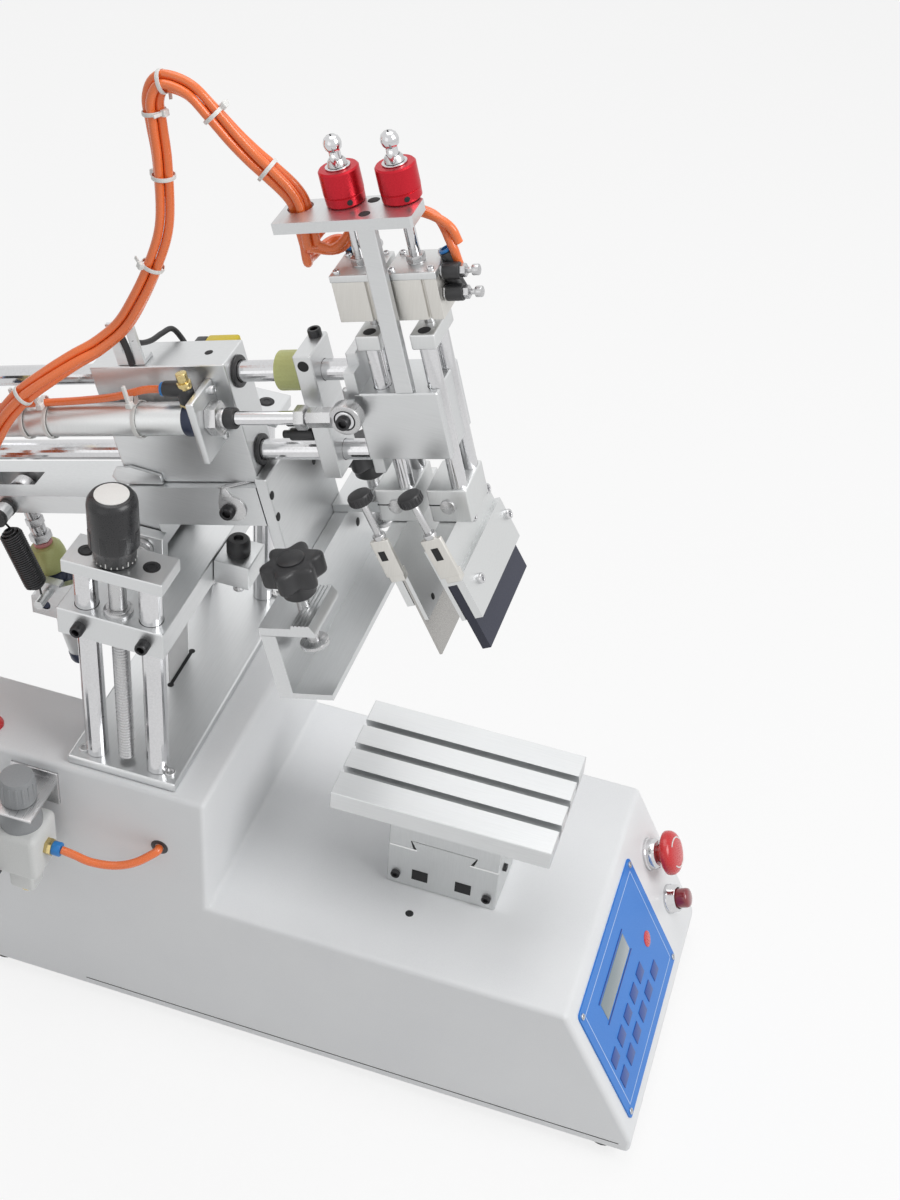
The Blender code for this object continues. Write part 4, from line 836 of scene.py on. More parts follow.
@dataclass
class Lift:
    """Posts, bridges, lift plate, height dial and what the lift plate carries."""

    post_x: float = 0.114
    screw_y: float = 0.457
    deck_top: float = 0.2868
    bridge: tuple[float, float] = (0.484, 0.4955)
    plate: tuple[float, float] = (0.419, 0.444)
    plate_y: tuple[float, float] = (0.415, 0.502)
    thread_top: float = 0.44
    thread_pitch: float = 0.003
    bridge_screw_y: tuple[float, float] = (0.428, 0.48)
    deck_screw_x: float = 0.1175
    deck_screw_y: tuple[float, float] = (0.418, 0.493)
    clamp_screws: tuple[tuple[float, float], ...] = ((0.43, 0.431), (0.483, 0.431))
    plate_near: float = -0.128
    slot_x: tuple[float, float] = (-0.0235, 0.0215)
    slot_y: float = 0.459
    pivot_half: float = 0.036
    dial_low: float = 0.4958
    dial_high: float = 0.5545
    dial_radius: float = 0.0191

    def dial(self) -> None:
        """Show the lead screw, the ribbed dial, its scale ring and its white top disc."""
        place = Places.machine @ Matrix.Translation((-self.post_x, self.screw_y, 0.0))
        thread = [(0.0, self.deck_top + 0.005)]
        z = self.deck_top + 0.005
        while z < self.thread_top:
            thread += [(0.0066, z), (0.0068, z + 0.0004), (0.0068, z + 0.0014), (0.0062, z + 0.0018),
                       (0.0062, z + 0.0026)]
            z += self.thread_pitch
        thread += [(0.0068, z), (0.0068, self.dial_low + 0.001), (0.0, self.dial_low + 0.001)]
        show("lead_screw", Shape.turned(thread, 28), STEEL, "dial", place, ["height_dial"])
        low, high, r = self.dial_low, self.dial_high, self.dial_radius
        body = Shape.turned([(0.0, low), (0.015, low), (0.0158, low + 0.001), (0.0166, low + 0.011),
                             (r - 0.0008, low + 0.0135), (r - 0.0002, low + 0.016),
                             (r - 0.0002, high - 0.0085), (r - 0.0008, high - 0.005),
                             (r - 0.003, high - 0.0016), (0.0145, high - 0.0006), (0.0, high - 0.0006)], 72)
        lugs = around(8, lambda k: Shape.block((r - 0.0016, r + 0.0001), (-0.003, 0.003),
                                               (low + 0.015, low + 0.031), 0.0007, 3))
        show("dial_grip", body.plus(*lugs), GLOSS_BLACK, "dial", place)
        disc = Shape.turned([(0.0, high - 0.001), (0.0128, high - 0.001), (0.0128, high - 0.0001),
                             (0.0122, high), (0.0, high)], 48)
        show("dial_disc", disc, TIE, "dial", place)
        ticks = around(24, lambda k: Shape.block((0.0152, 0.0166), (-0.0003, 0.0003),
                                                 (low + 0.002, low + (0.0034 if k % 4 else 0.006)), 0.0))
        show("dial_ticks", Shape().plus(*ticks), TIE, "dial", place)

    def build(self) -> None:
        """Dress the lift's nodes and show its small pieces."""
        place = Places.machine
        carry(CHROME, "near_front_post", "near_rear_post", "far_front_post", "far_rear_post")
        carry(ALUMINIUM_X, "deck_plate", "lift_plate", "near_bridge", "far_bridge")
        carry(ALUMINIUM, "pivot_bracket", "rocker_bracket")
        self.dial()
        wells, heads = Shape(), Shape()
        for x in (-self.post_x, self.post_x):
            for y in self.bridge_screw_y:
                wells.plus(holes(Axis.Z, [(x, y)], self.bridge[1], 0.0066, 1))
                heads.plus(socket_screw(Axis.Z, (x, y), self.bridge[1] + 0.0001, 0.005, 1, 0.0006))
        show("bridge_wells", wells, HOLE, "machine", place)
        show("bridge_screws", heads, BLACK_STEEL, "machine", place)
        deck = [(side * self.deck_screw_x, y) for side in (-1, 1) for y in self.deck_screw_y]
        show("deck_plate_screws", screws(Axis.Z, deck, self.deck_top, 0.0044, 1, 0.0026), STEEL,
             "machine", place)
        side = screws(Axis.X, self.clamp_screws, self.plate_near, 0.0052, -1, 0.008)
        show("plate_clamp_screws", side, BLACK_STEEL, "lift", place)
        bush = Shape.turned([(0.007, 0.444), (0.0112, 0.444), (0.0112, 0.4462), (0.01, 0.447),
                             (0.0092, 0.4474), (0.0092, 0.4486), (0.007, 0.4488), (0.007, 0.444)], 48)
        collar = Shape.pin(0.479, 0.4838, 0.0108, 0.0006, 40)
        here = place @ Matrix.Translation((-self.post_x, self.screw_y, 0.0))
        show("screw_bush", bush, STEEL, "lift", here)
        show("screw_collar", collar, CHROME, "dial", here)
        slot = Shape.block(self.slot_x, (self.slot_y - 0.0015, self.slot_y + 0.0015),
                           (self.deck_top - 0.0004, self.deck_top + 0.00015), 0.0)
        slot.plus(holes(Axis.Z, [(x, self.slot_y) for x in self.slot_x], self.deck_top, 0.0028, 1))
        show("deck_plate_slot", slot, HOLE, "machine", place)
        card = Shape.block((-0.02, 0.019), (0.4612, 0.4622), (0.255, self.plate[0] + 0.001), 0.0002)
        show("lift_guard", card, CARD, "lift", place)
        self.stop()
        self.pivot()

    def stop(self) -> None:
        """Show the arm stop: its bar, its black bumper and the locking bolt below."""
        place = Places.machine
        y, z = self.plate_y[0], self.plate
        bar = Shape.block((-0.032, 0.002), (y - 0.03, y - 0.0003), (z[0] + 0.002, z[1] - 0.001), 0.001)
        show("stop_bar", bar, ALUMINIUM, "lift", place, ["stop_block"])
        here = place @ Matrix.Translation((-0.016, y - 0.015, 0.0))
        bumper = Shape.turned([(0.0, z[1] - 0.001), (0.0088, z[1] - 0.001), (0.0095, z[1] + 0.0006),
                               (0.0096, z[1] + 0.009), (0.009, z[1] + 0.012), (0.0076, z[1] + 0.0136),
                               (0.004, z[1] + 0.0138), (0.003, z[1] + 0.011), (0.0, z[1] + 0.011)], 40)
        show("stop_rubber", bumper, BLACK, "lift", here)
        bolt = Shape.hexagon(Axis.Z, (0.0, 0.0), z[0] - 0.004, z[0] + 0.0019, 0.011)
        bolt.plus(Shape.pin(z[0] - 0.013, z[0] - 0.0035, 0.0046, 0.0006, 24))
        show("stop_bolt", bolt, STEEL, "lift", here)

    def pivot(self) -> None:
        """Show the pivot pin's end caps."""
        place = Places.machine
        y, z = Places.pivot.y - Places.low.y, Places.pivot.z - Places.low.z - 0.012
        caps = Shape()
        for sign in (-1, 1):
            face = Arm.x + sign * self.pivot_half
            caps.plus(Shape.rod(Axis.X, (y, z), face + sign * 0.0002, face + sign * 0.0042,
                                0.0088, 0.0008, 36))
            caps.plus(Shape.hexagon(Axis.X, (y, z), face + sign * 0.004, face + sign * 0.0052, 0.007))
        show("pivot_caps", caps, STEEL, "lift", place)


@dataclass
class RockingDrive:
    """The air cylinder that rocks the arm, its rod and the return spring."""

    radius: float = 0.013
    length: float = 0.075
    rod_radius: float = 0.005
    reach: float = 0.0964
    spring_radius: float = 0.0085
    wire: float = 0.0009
    turns: int = 30

    def build(self) -> None:
        """Build and show the drive's pieces."""
        place = Places.rocking
        body = Shape.pin(-self.length + 0.01, -0.006, self.radius - 0.0006, 0.0003, 48)
        show("rocking_barrel", body, ANODISED, "rocking_cylinder", place,
             ["rocking_cylinder"])
        caps = Shape.turned([(0.0, -self.length), (0.0095, -self.length), (0.0122, -self.length + 0.001),
                             (0.013, -self.length + 0.003), (0.013, -self.length + 0.009),
                             (0.0118, -self.length + 0.011), (0.0, -self.length + 0.011)], 48)
        caps.plus(Shape.turned([(0.0, -0.007), (0.0122, -0.007), (0.013, -0.005), (0.013, 0.004),
                                (0.012, 0.006), (0.0092, 0.007), (0.0092, 0.015), (0.0084, 0.016),
                                (0.0, 0.016)], 48))
        caps.plus(Shape.rod(Axis.X, (0.0, 0.0), -0.026, 0.026, 0.0047, 0.0005, 24))
        show("rocking_caps", caps, CAP_DARK, "rocking_cylinder", place)
        self.rod()
        self.spring()

    def rod(self) -> None:
        """Show the rod, its urethane stop, pink seal, lock nut and rod end."""
        place = Places.rocking
        rod = Shape.pin(-0.045, self.reach - 0.012, self.rod_radius, 0.0004, 32)
        show("rocking_rod_bar", rod, CHROME, "rocking_rod", place, ["rocking_rod"])
        stop = Shape.turned([(0.0, 0.0195), (0.0142, 0.0195), (0.0152, 0.0205), (0.0155, 0.024),
                             (0.015, 0.033), (0.0135, 0.039), (0.0112, 0.0415), (0.006, 0.042),
                             (0.0, 0.042)], 48)
        show("rocking_stop", stop, AMBER, "rocking_rod", place)
        seal = Shape.pin(0.0421, 0.046, 0.0078, 0.001, 40)
        show("rocking_seal", seal, PINK, "rocking_rod", place)
        nuts = Shape.hexagon(Axis.Z, (0.0, 0.0), 0.0161, 0.0194, 0.015)
        nuts.plus(Shape.hexagon(Axis.Z, (0.0, 0.0), 0.047, 0.054, 0.016),
                  Shape.pin(0.054, 0.062, 0.0066, 0.0006, 32),
                  Shape.hexagon(Axis.Z, (0.0, 0.0), 0.062, 0.069, 0.013),
                  Shape.pin(0.069, self.reach - 0.009, 0.0062, 0.0006, 32),
                  Shape.rod(Axis.X, (0.0, self.reach), -0.0055, 0.0055, 0.01, 0.0008, 40, 0.0066))
        show("rocking_rod_end", nuts, STEEL, "rocking_rod", place)
        ball = Shape.turned([(0.0046, -0.006), (0.0052, -0.004), (0.0064, 0.0), (0.0052, 0.004),
                             (0.0046, 0.006), (0.0046, -0.006)], 32)
        turn = Matrix.Translation((0.0, 0.0, self.reach)) @ Matrix.Rotation(math.pi / 2, 4, "Y")
        show("rocking_ball", ball.at(turn), CHROME, "rocking_rod", place)

    def spring(self) -> None:
        """Show the return spring as a wound wire between its two posts, its coils narrowing at both ends."""
        low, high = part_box("return_spring")
        x = (low.x + high.x) / 2
        bottom = Vector((x, Places.lug.y - 0.005, Places.lug.z + 0.016))
        top = Places.arm @ Vector((0.0, 0.118, 0.029))
        top.x = x
        axis = (top - bottom).normalized()
        side = Vector((1.0, 0.0, 0.0))
        across = axis.cross(side)
        start, end = 0.011, (top - bottom).length - 0.014
        steps = self.turns * 14
        points = [bottom + axis * 0.0045]
        for step in range(steps + 1):
            part = step / steps
            angle = 2 * math.pi * self.turns * part
            ease = min(1.0, part * 12, (1.0 - part) * 12)
            radius = self.spring_radius * (0.25 + 0.75 * ease)
            along = start + (end - start) * part
            points.append(bottom + axis * along + (side * math.cos(angle)
                                                   + across * math.sin(angle)) * radius)
        points.append(top - axis * 0.0078)
        stretch = Bend("lift", "arm", bottom + axis * start, top - axis * 0.01)
        tube("return_coil", points, self.wire, BLACK_STEEL, stretch, ["return_spring"])


@dataclass
class Arm:
    """The rocking arm, its front plate and screen bar, the bearing block and the stroke cylinder."""

    x: float = -0.02
    half: float = 0.025
    top: float = 0.048
    pin_y: float = 0.118
    pin_z: float = 0.029
    bar_near: float = -0.116
    bar_far: float = 0.092
    bar_top: float = -0.034
    bar_rear: float = -0.1153
    bar_thick: float = 0.012
    flange: float = 0.032
    knob_radius: float = 0.024
    rod_z: tuple[float, float] = (0.066, 0.133)
    block_y: tuple[float, float] = (-0.1045, 0.006)
    block_top: float = 0.149
    drive_x: float = -0.055
    drive_z: float = 0.115
    washer: tuple[float, float] = (-0.081, 0.03)
    washer_bolt: tuple[float, float] = (-0.0775, 0.0285)
    plate_front: float = -0.115
    plate_spots: tuple[tuple[float, float], ...] = ((-0.0425, 0.04), (-0.0425, 0.0208), (0.0332, 0.0208))
    bar_spots: tuple[tuple[float, float], ...] = ((0.0541, -0.0518), (-0.078, -0.0518))
    clamp_width: float = 0.05
    port_y: tuple[float, float] = (-0.078, 0.09)

    def build(self) -> None:
        """Build and show the arm's pieces."""
        carry(ALUMINIUM, "rocker_arm", "bearing_block", "hose_clip")
        carry(ALUMINIUM_X, "front_plate", "screen_bar")
        self.arm_details()
        self.plate_details()
        for side, low in (("near", self.bar_near), ("far", self.bar_far - self.clamp_width)):
            self.clamp(side, low)
        self.block_details()
        self.drive()
        self.sensor()

    def arm_details(self) -> None:
        """Show the bolts, washers and strap on the arm's near face and top, with painted shade along the
        strap.
        """
        place = Places.arm
        near = self.x - self.half
        bolt = Shape.rod(Axis.X, (self.pin_y, self.pin_z), near - 0.0182, near + 0.001, 0.0042, 0.0003, 24)
        bolt.plus(Shape.rod(Axis.X, (self.pin_y, self.pin_z), near - 0.0186, near - 0.014, 0.0076, 0.0007,
                            32), Shape.rod(Axis.X, (self.pin_y, self.pin_z), near - 0.004, near - 0.0001,
                                           0.0076, 0.0006, 32))
        show("spring_bolt", bolt, BLACK_STEEL, "arm", place)
        disc = Shape.rod(Axis.X, self.washer, near - 0.0016, near + 0.0005, 0.0112, 0.0004, 48)
        show("arm_washer", disc, STEEL, "arm", place)
        head = screws(Axis.X, [self.washer_bolt], near - 0.0016, 0.0058, -1, 0.0055)
        show("arm_bolt", head, BLACK_STEEL, "arm", place)
        strap = Shape.prism(Axis.X, [(-0.07, 0.034), (-0.076, 0.049), (-0.08, 0.0492), (-0.086, 0.035)],
                            near - 0.0014, near - 0.0001, 0.0004)
        strap.plus(Shape.prism(Axis.Z, [(near - 0.0014, -0.074), (near - 0.0014, -0.08),
                                        (near + 0.006, -0.0965), (near + 0.0085, -0.0985),
                                        (near + 0.0085, -0.094), (near + 0.003, -0.079)], self.top + 0.0001,
                               self.top + 0.0012, 0.0003))
        show("arm_strap", strap, STEEL, "arm", place)
        # Painted shade: a near-black sliver along the strap's edge on the arm's top.
        gap = Shape.prism(Axis.Z, [(near + 0.001, -0.0812), (near + 0.002, -0.0816), (near + 0.0095, -0.0935),
                                   (near + 0.0088, -0.099), (near + 0.008, -0.0985)], self.top - 0.0002,
                          self.top + 0.0003)
        show("strap_shade", gap, HOLE, "arm", place)

    def plate_details(self) -> None:
        """Show the shaded mouths of the front plate's and the screen bar's holes."""
        place = Places.arm
        plate = holes(Axis.Y, self.plate_spots, self.plate_front, 0.0034, -1)
        show("front_plate_holes", plate, HOLE, "arm", place)
        front = self.bar_rear - self.bar_thick
        show("screen_bar_holes", holes(Axis.Y, self.bar_spots, front, 0.0036, -1), HOLE, "arm", place)

    def star(self, radius: float, lobes: int = 6) -> list[tuple[float, float]]:
        """Return the knob's outline: rounded lobes with scooped sides.

        Args:
            radius: how far the lobes reach.
            lobes: how many there are.

        Returns:
            The outline's points.
        """
        points = []
        steps = lobes * 12
        for index in range(steps):
            angle = 2 * math.pi * index / steps
            wave = math.cos(lobes * angle)
            points.append((radius * (0.865 + 0.135 * wave) * math.cos(angle),
                           radius * (0.865 + 0.135 * wave) * math.sin(angle)))
        return points

    def clamp(self, side: str, low: float) -> None:
        """Show one clamp bar with its grooved lip, star knob, stud and foot disc.

        Args:
            side: near or far.
            low: where the bar starts along X.
        """
        place = Places.arm
        front = self.bar_rear - self.bar_thick
        lip = front - self.flange
        z0, z1 = self.bar_top + 0.0003, self.bar_top + 0.0073
        section = [(self.bar_rear, z0), (self.bar_rear, z1), (lip + 0.018, z1), (lip + 0.017, z1 + 0.003)]
        for step in range(4):
            y = lip + 0.0155 - step * 0.003
            section += [(y, z1 + 0.003), (y - 0.0006, z1 + 0.0018), (y - 0.0012, z1 + 0.003)]
        section += [(lip + 0.003, z1 + 0.003), (lip, z1 - 0.003), (lip, z0)]
        bar = Shape.prism(Axis.X, section, low, low + self.clamp_width)
        show(f"{side}_clamp", bar, ALUMINIUM_X, "arm", place, [f"{side}_clamp_bar"])
        here = place @ Matrix.Translation((low + self.clamp_width / 2, front - 0.016, 0.0))
        body = f"{side}_clamp_knob"
        star = Shape.prism(Axis.Z, self.star(self.knob_radius), 0.0, 0.018, 0.003, 3)
        star.plus(Shape.turned([(0.0, -0.013), (0.011, -0.013), (0.0125, -0.0115), (0.013, -0.002),
                                (0.015, 0.001), (0.0, 0.001)], 48),
                  Shape.turned([(0.0, 0.017), (0.0105, 0.017), (0.0105, 0.019), (0.009, 0.02),
                                (0.0, 0.0196)], 48))
        show(f"{side}_star_knob", star, BLACK, body, here, [body], 40)
        stud = Shape.turned([(0.0, -0.06), (0.0104, -0.06), (0.011, -0.0594), (0.011, -0.0566),
                             (0.0102, -0.056), (0.005, -0.0552), (0.005, -0.0125), (0.0, -0.0125)], 40)
        show(f"{side}_clamp_stud", stud, STEEL, body, here)

    def block_details(self) -> None:
        """Show the bearing block's seals, its top holes and the foot wedge beside it."""
        place = Places.arm
        near = self.x - 0.018
        seals = Shape()
        for z in self.rod_z:
            for face, out in ((self.block_y[0], -1), (self.block_y[1], 1)):
                seals.plus(Shape.rod(Axis.Y, (self.x, z), face, face + out * 0.002, 0.012,
                                     0.0006, 40, 0.0084))
        show("block_seals", seals, BLACK, "arm", place)
        show("block_top_hole", holes(Axis.Z, [(self.x, -0.085), (self.x, -0.02)], self.block_top, 0.0032, 1),
             HOLE, "arm", place)
        wedge = Shape.prism(Axis.X, [(-0.026, 0.0485), (0.0125, 0.0485), (0.016, 0.056), (0.011, 0.063),
                                     (-0.002, 0.064), (-0.0255, 0.056)], near - 0.004, near - 0.0003, 0.0008)
        show("block_foot", wedge, ALUMINIUM, "arm", place)

    def drive(self) -> None:
        """Show the stroke cylinder: bracket, tube, end caps, nut, collar and air fittings."""
        place = Places.arm
        at = (self.drive_x, self.drive_z)
        bracket = Shape.block((-0.074, -0.0383), (-0.092, -0.086), (0.088, 0.138), 0.0012)
        bracket.plus(screws(Axis.Y, [(-0.044, 0.094), (-0.044, 0.132)], -0.092, 0.0034, -1, 0.003))
        show("drive_bracket", bracket, ALUMINIUM_X, "arm", place)
        barrel = Shape.rod(Axis.Y, at, -0.074, 0.086, 0.0124, 0.0003, 56)
        show("drive_barrel", barrel, ANODISED, "arm", place, ["drive_cylinder"])
        caps = Shape.rod(Axis.Y, at, -0.0859, -0.0735, 0.013, 0.0012, 56)
        caps.plus(Shape.rod(Axis.Y, at, 0.0855, 0.098, 0.013, 0.0014, 56))
        show("drive_caps", caps, CAP_DARK, "arm", place)
        nuts = Shape.hexagon(Axis.Y, at, -0.101, -0.0922, 0.022)
        nuts.plus(Shape.rod(Axis.Y, at, -0.1045, -0.1008, 0.0075, 0.0006, 32))
        show("drive_nut", nuts, STEEL, "arm", place)
        collar = Shape.rod(Axis.Y, at, -0.1125, -0.1046, 0.0078, 0.0008, 40, 0.0054)
        show("drive_collar", collar, BLACK, "arm", place)
        elbow = Shape()
        metal = Shape()
        rings = Shape()
        for y in self.port_y:
            elbow.plus(Shape.rod(Axis.Z, (self.drive_x, y), 0.129, 0.141, 0.0062, 0.001, 32),
                       Shape.rod(Axis.Y, (self.drive_x, 0.14), y - 0.002, y + 0.016, 0.006, 0.0012, 32))
            metal.plus(Shape.hexagon(Axis.Z, (self.drive_x, y), 0.1265, 0.1292, 0.011),
                       Shape.rod(Axis.Z, (self.drive_x, y - 0.001), 0.1455, 0.153, 0.0042, 0.0006, 28),
                       Shape.rod(Axis.Z, (self.drive_x, y - 0.001), 0.1405, 0.1458, 0.0054, 0.0006, 28))
            rings.plus(Shape.rod(Axis.Y, (self.drive_x, 0.14), y + 0.0158, y + 0.0182, 0.0052, 0.0005, 32))
        show("drive_elbows", elbow, BLACK, "arm", place)
        show("drive_flow_screws", metal, BRASS, "arm", place)
        show("drive_rings", rings, BLUE_RING, "arm", place)

    def sensor(self) -> None:
        """Show the yellow stroke sensor beside the bearing block, with its black cap."""
        place = Places.arm
        body = Shape.block((-0.0015, 0.012), (-0.096, -0.07), (0.118, 0.146), 0.002)
        show("stroke_sensor", body, YELLOW, "arm", place)
        cap = Shape.block((-0.0018, 0.0125), (-0.0705, -0.06), (0.119, 0.145), 0.002)
        cap.plus(Shape.rod(Axis.Y, (0.0053, 0.132), -0.062, -0.054, 0.004, 0.0008, 24))
        show("sensor_cap", cap, BLACK, "arm", place)


@dataclass
class Head:
    """The sliding print head: block, rods, jacks with their adjusters, yokes and blades."""

    x: float = -0.02
    rod_z: tuple[float, float] = (0.066, 0.133)
    jack_y: tuple[float, float] = (-0.22, -0.26)
    jack_low: float = 0.179
    jack_high: float = 0.2145
    plate_high: float = 0.26
    yoke: tuple[float, float] = (0.158, 0.1695)
    grip: tuple[float, float] = (0.016, 0.0435)
    grip_reach: tuple[float, float] = (-0.007, 0.0235)
    post_radius: float = 0.006
    post_x: float = 0.013
    drive_x: float = -0.055
    drive_z: float = 0.115
    jack_half: tuple[float, float] = (0.017, 0.0182)
    ports: tuple[tuple[float, float], ...] = ((0.2085, -0.024), (0.1935, -0.026))
    eye_y: float = -0.198
    clamp_screw: tuple[float, float] = (-0.008, -0.166)
    clamp_top: float = 0.154
    clamp_hole: tuple[float, float] = (-0.166, 0.146)
    buffer_spots: tuple[tuple[float, float], ...] = ((-0.034, 0.1), (-0.034, 0.088))

    def build(self) -> None:
        """Build and show the head's pieces."""
        carry(CHROME, "guide_rods")
        carry(ALUMINIUM, "head_block", "upright_bar")
        carry(ALUMINIUM_X, "rod_clamp")
        carry(ALUMINIUM_X, "top_plate")
        carry(AMBER, "head_bumper")
        self.block_details()
        for name, y in zip(("flood", "squeegee"), self.jack_y):
            self.jack(name, y)
            self.adjuster(name, y)
            self.hanger(name, y)
        self.squeegee()
        self.flood()

    def block_details(self) -> None:
        """Show the stroke rod and its rod end, the buffers, the rod clamp's screws and the plate's holes."""
        place = Places.arm
        at = (self.drive_x, self.drive_z)
        rod = Shape.rod(Axis.Y, at, -0.188, 0.06, 0.005, 0.0004, 40)
        show("stroke_rod", rod, CHROME, "head", place, ["drive_rod"])
        eye = Shape.rod(Axis.X, (self.eye_y, self.drive_z), self.drive_x - 0.005, self.drive_x + 0.005,
                        0.0118, 0.001, 56, 0.008)
        eye.plus(Shape.hexagon(Axis.Y, at, -0.188, -0.169, 0.0125),
                 Shape.hexagon(Axis.Y, at, -0.168, -0.16, 0.0155))
        show("rod_end", eye, STEEL, "head", place)
        ball = Shape.rod(Axis.X, (self.eye_y, self.drive_z), self.drive_x - 0.0056, self.drive_x + 0.0056,
                         0.0076, 0.0022, 48)
        show("rod_end_ball", ball, CHROME, "head", place)
        bolt = socket_screw(Axis.X, (self.eye_y, self.drive_z), self.drive_x - 0.0056, 0.0052, -1, 0.005)
        show("eye_bolt", bolt, BLACK_STEEL, "head", place)
        lug = Shape.block((-0.0375, -0.033), (-0.206, -0.19), (0.104, 0.127), 0.002)
        show("eye_lug", lug, ALUMINIUM, "head", place)
        buffers = Shape()
        for x, z in self.buffer_spots:
            buffers.plus(Shape.rod(Axis.Y, (x, z), -0.1588, -0.14, 0.0048, 0.001, 28),
                         Shape.rod(Axis.Y, (x, z), -0.1402, -0.134, 0.003, 0.0008, 24))
        show("stroke_buffers", buffers, BLACK, "head", place)
        clamp = screws(Axis.Z, [self.clamp_screw], self.clamp_top, 0.005, 1, 0.0055)
        show("rod_clamp_screws", clamp, BLACK_STEEL, "head", place)
        show("rod_clamp_holes", holes(Axis.X, [self.clamp_hole], -0.038, 0.0042, -1), HOLE, "head", place)
        seal = Shape.rod(Axis.Y, (self.x, self.rod_z[0]), -0.1975, -0.1945, 0.0086, 0.0006, 36, 0.0079)
        show("rod_seal", seal, GREEN, "head", place)
        spots = [(-0.04, -0.24), (self.x, -0.2395)]
        show("plate_holes", holes(Axis.Z, spots, self.plate_high, 0.004, 1), HOLE, "head", place)

    def jack(self, name: str, y: float) -> None:
        """Show one square air cylinder with its groove, cap plate, end screws, stem and fittings.

        Args:
            name: flood or squeegee.
            y: its cylinder's place along the arm.
        """
        place = Places.arm
        low, high = self.jack_low, self.jack_high
        half, deep = self.jack_half
        groove = y - 0.0077
        wide = 0.0012
        near, far = self.x - half + 0.0006, self.x + half - 0.0006
        back, front = y + deep - 0.0006, y - deep + 0.0006
        outline = [(far, front), (far, back), (near, back), (near, groove + wide),
                   (near + 0.002, groove + wide * 0.4), (near + 0.002, groove - wide * 0.4),
                   (near, groove - wide), (near, front)]
        body = Shape.prism(Axis.Z, outline, low, high - 0.0054, 0.0008, 3)
        show(f"{name}_jack", body, CHAMPAGNE, "head", place, [f"{name}_cylinder"])
        cap = Shape.block((self.x - half, self.x + half), (y - deep, y + deep), (high - 0.0054, high), 0.0008)
        show(f"{name}_jack_cap", cap, ANODISED, "head", place)
        spots = [(self.x + sx * 0.0124, y + sy * 0.0138) for sx in (-1, 1) for sy in (-1, 1)]
        show(f"{name}_jack_screws", screws(Axis.Z, spots, high, 0.0024, 1, 0.002), CHROME, "head", place)
        piston = Shape.rod(Axis.Z, (self.x, y), self.yoke[1] - 0.001, low + 0.004, 0.004, 0.0002, 32)
        show(f"{name}_piston_rod", piston, CHROME, name, place)
        seat = self.plate_high
        here = place @ Matrix.Translation((self.x, y, 0.0))
        stem = Shape.pin(high - 0.001, seat + 0.044, 0.004, 0.0003, 32)
        show(f"{name}_stem", stem, CHROME, "head", here)
        nut = Shape.hexagon(Axis.Z, (0.0, 0.0), high + 0.001, high + 0.0058, 0.0115)
        nut.plus(Shape.pin(high, high + 0.0012, 0.0062, 0.0003, 36))
        show(f"{name}_stem_nut", nut, STEEL, "head", here)
        self.fittings(name, y)

    def fittings(self, name: str, y: float) -> None:
        """Show a jack's two speed controllers, on the squeegee's front or on the flood's far side.

        Args:
            name: flood or squeegee.
            y: its cylinder's place along the arm.
        """
        place = Places.arm
        black, blue, bright = Shape(), Shape(), Shape()
        for z, x in self.ports:
            if name == "squeegee":
                turn = Matrix.Translation((x, y - self.jack_half[1], z))
            else:
                side = 0.004 if z > 0.2 else -0.004
                across = Matrix.Rotation(math.pi / 2, 4, "Z")
                turn = Matrix.Translation((self.x + self.jack_half[0], y + side, z)) @ across
            black.plus(Shape.rod(Axis.Y, (0.0, 0.0), -0.013, -0.0008, 0.0058, 0.001, 32).at(turn))
            bright.plus(Shape.hexagon(Axis.Y, (0.0, 0.0), -0.0012, 0.0, 0.01).at(turn),
                        Shape.hexagon(Axis.Y, (0.0, 0.0), -0.0172, -0.013, 0.008).at(turn),
                        Shape.rod(Axis.Y, (0.0, 0.0), -0.0212, -0.0172, 0.0019, 0.0003, 20).at(turn),
                        Shape.rod(Axis.Y, (0.0, 0.0), -0.0262, -0.0212, 0.0038, 0.0008, 28).at(turn))
            riser = turn @ Matrix.Translation((0.0092, -0.007, -0.003)) @ Matrix.Rotation(-0.35, 4, "X")
            black.plus(Shape.pin(-0.004, 0.014, 0.0056, 0.001, 32).at(riser),
                       Shape.rod(Axis.X, (0.0, 0.0), -0.008, 0.001, 0.0046, 0.0006, 24).at(riser))
            blue.plus(Shape.pin(0.014, 0.0162, 0.005, 0.0006, 32, 0.0033).at(riser))
        show(f"{name}_elbows", black, BLACK, "head", place)
        show(f"{name}_rings", blue, BLUE_RING, "head", place)
        show(f"{name}_flow_screws", bright, STEEL, "head", place)

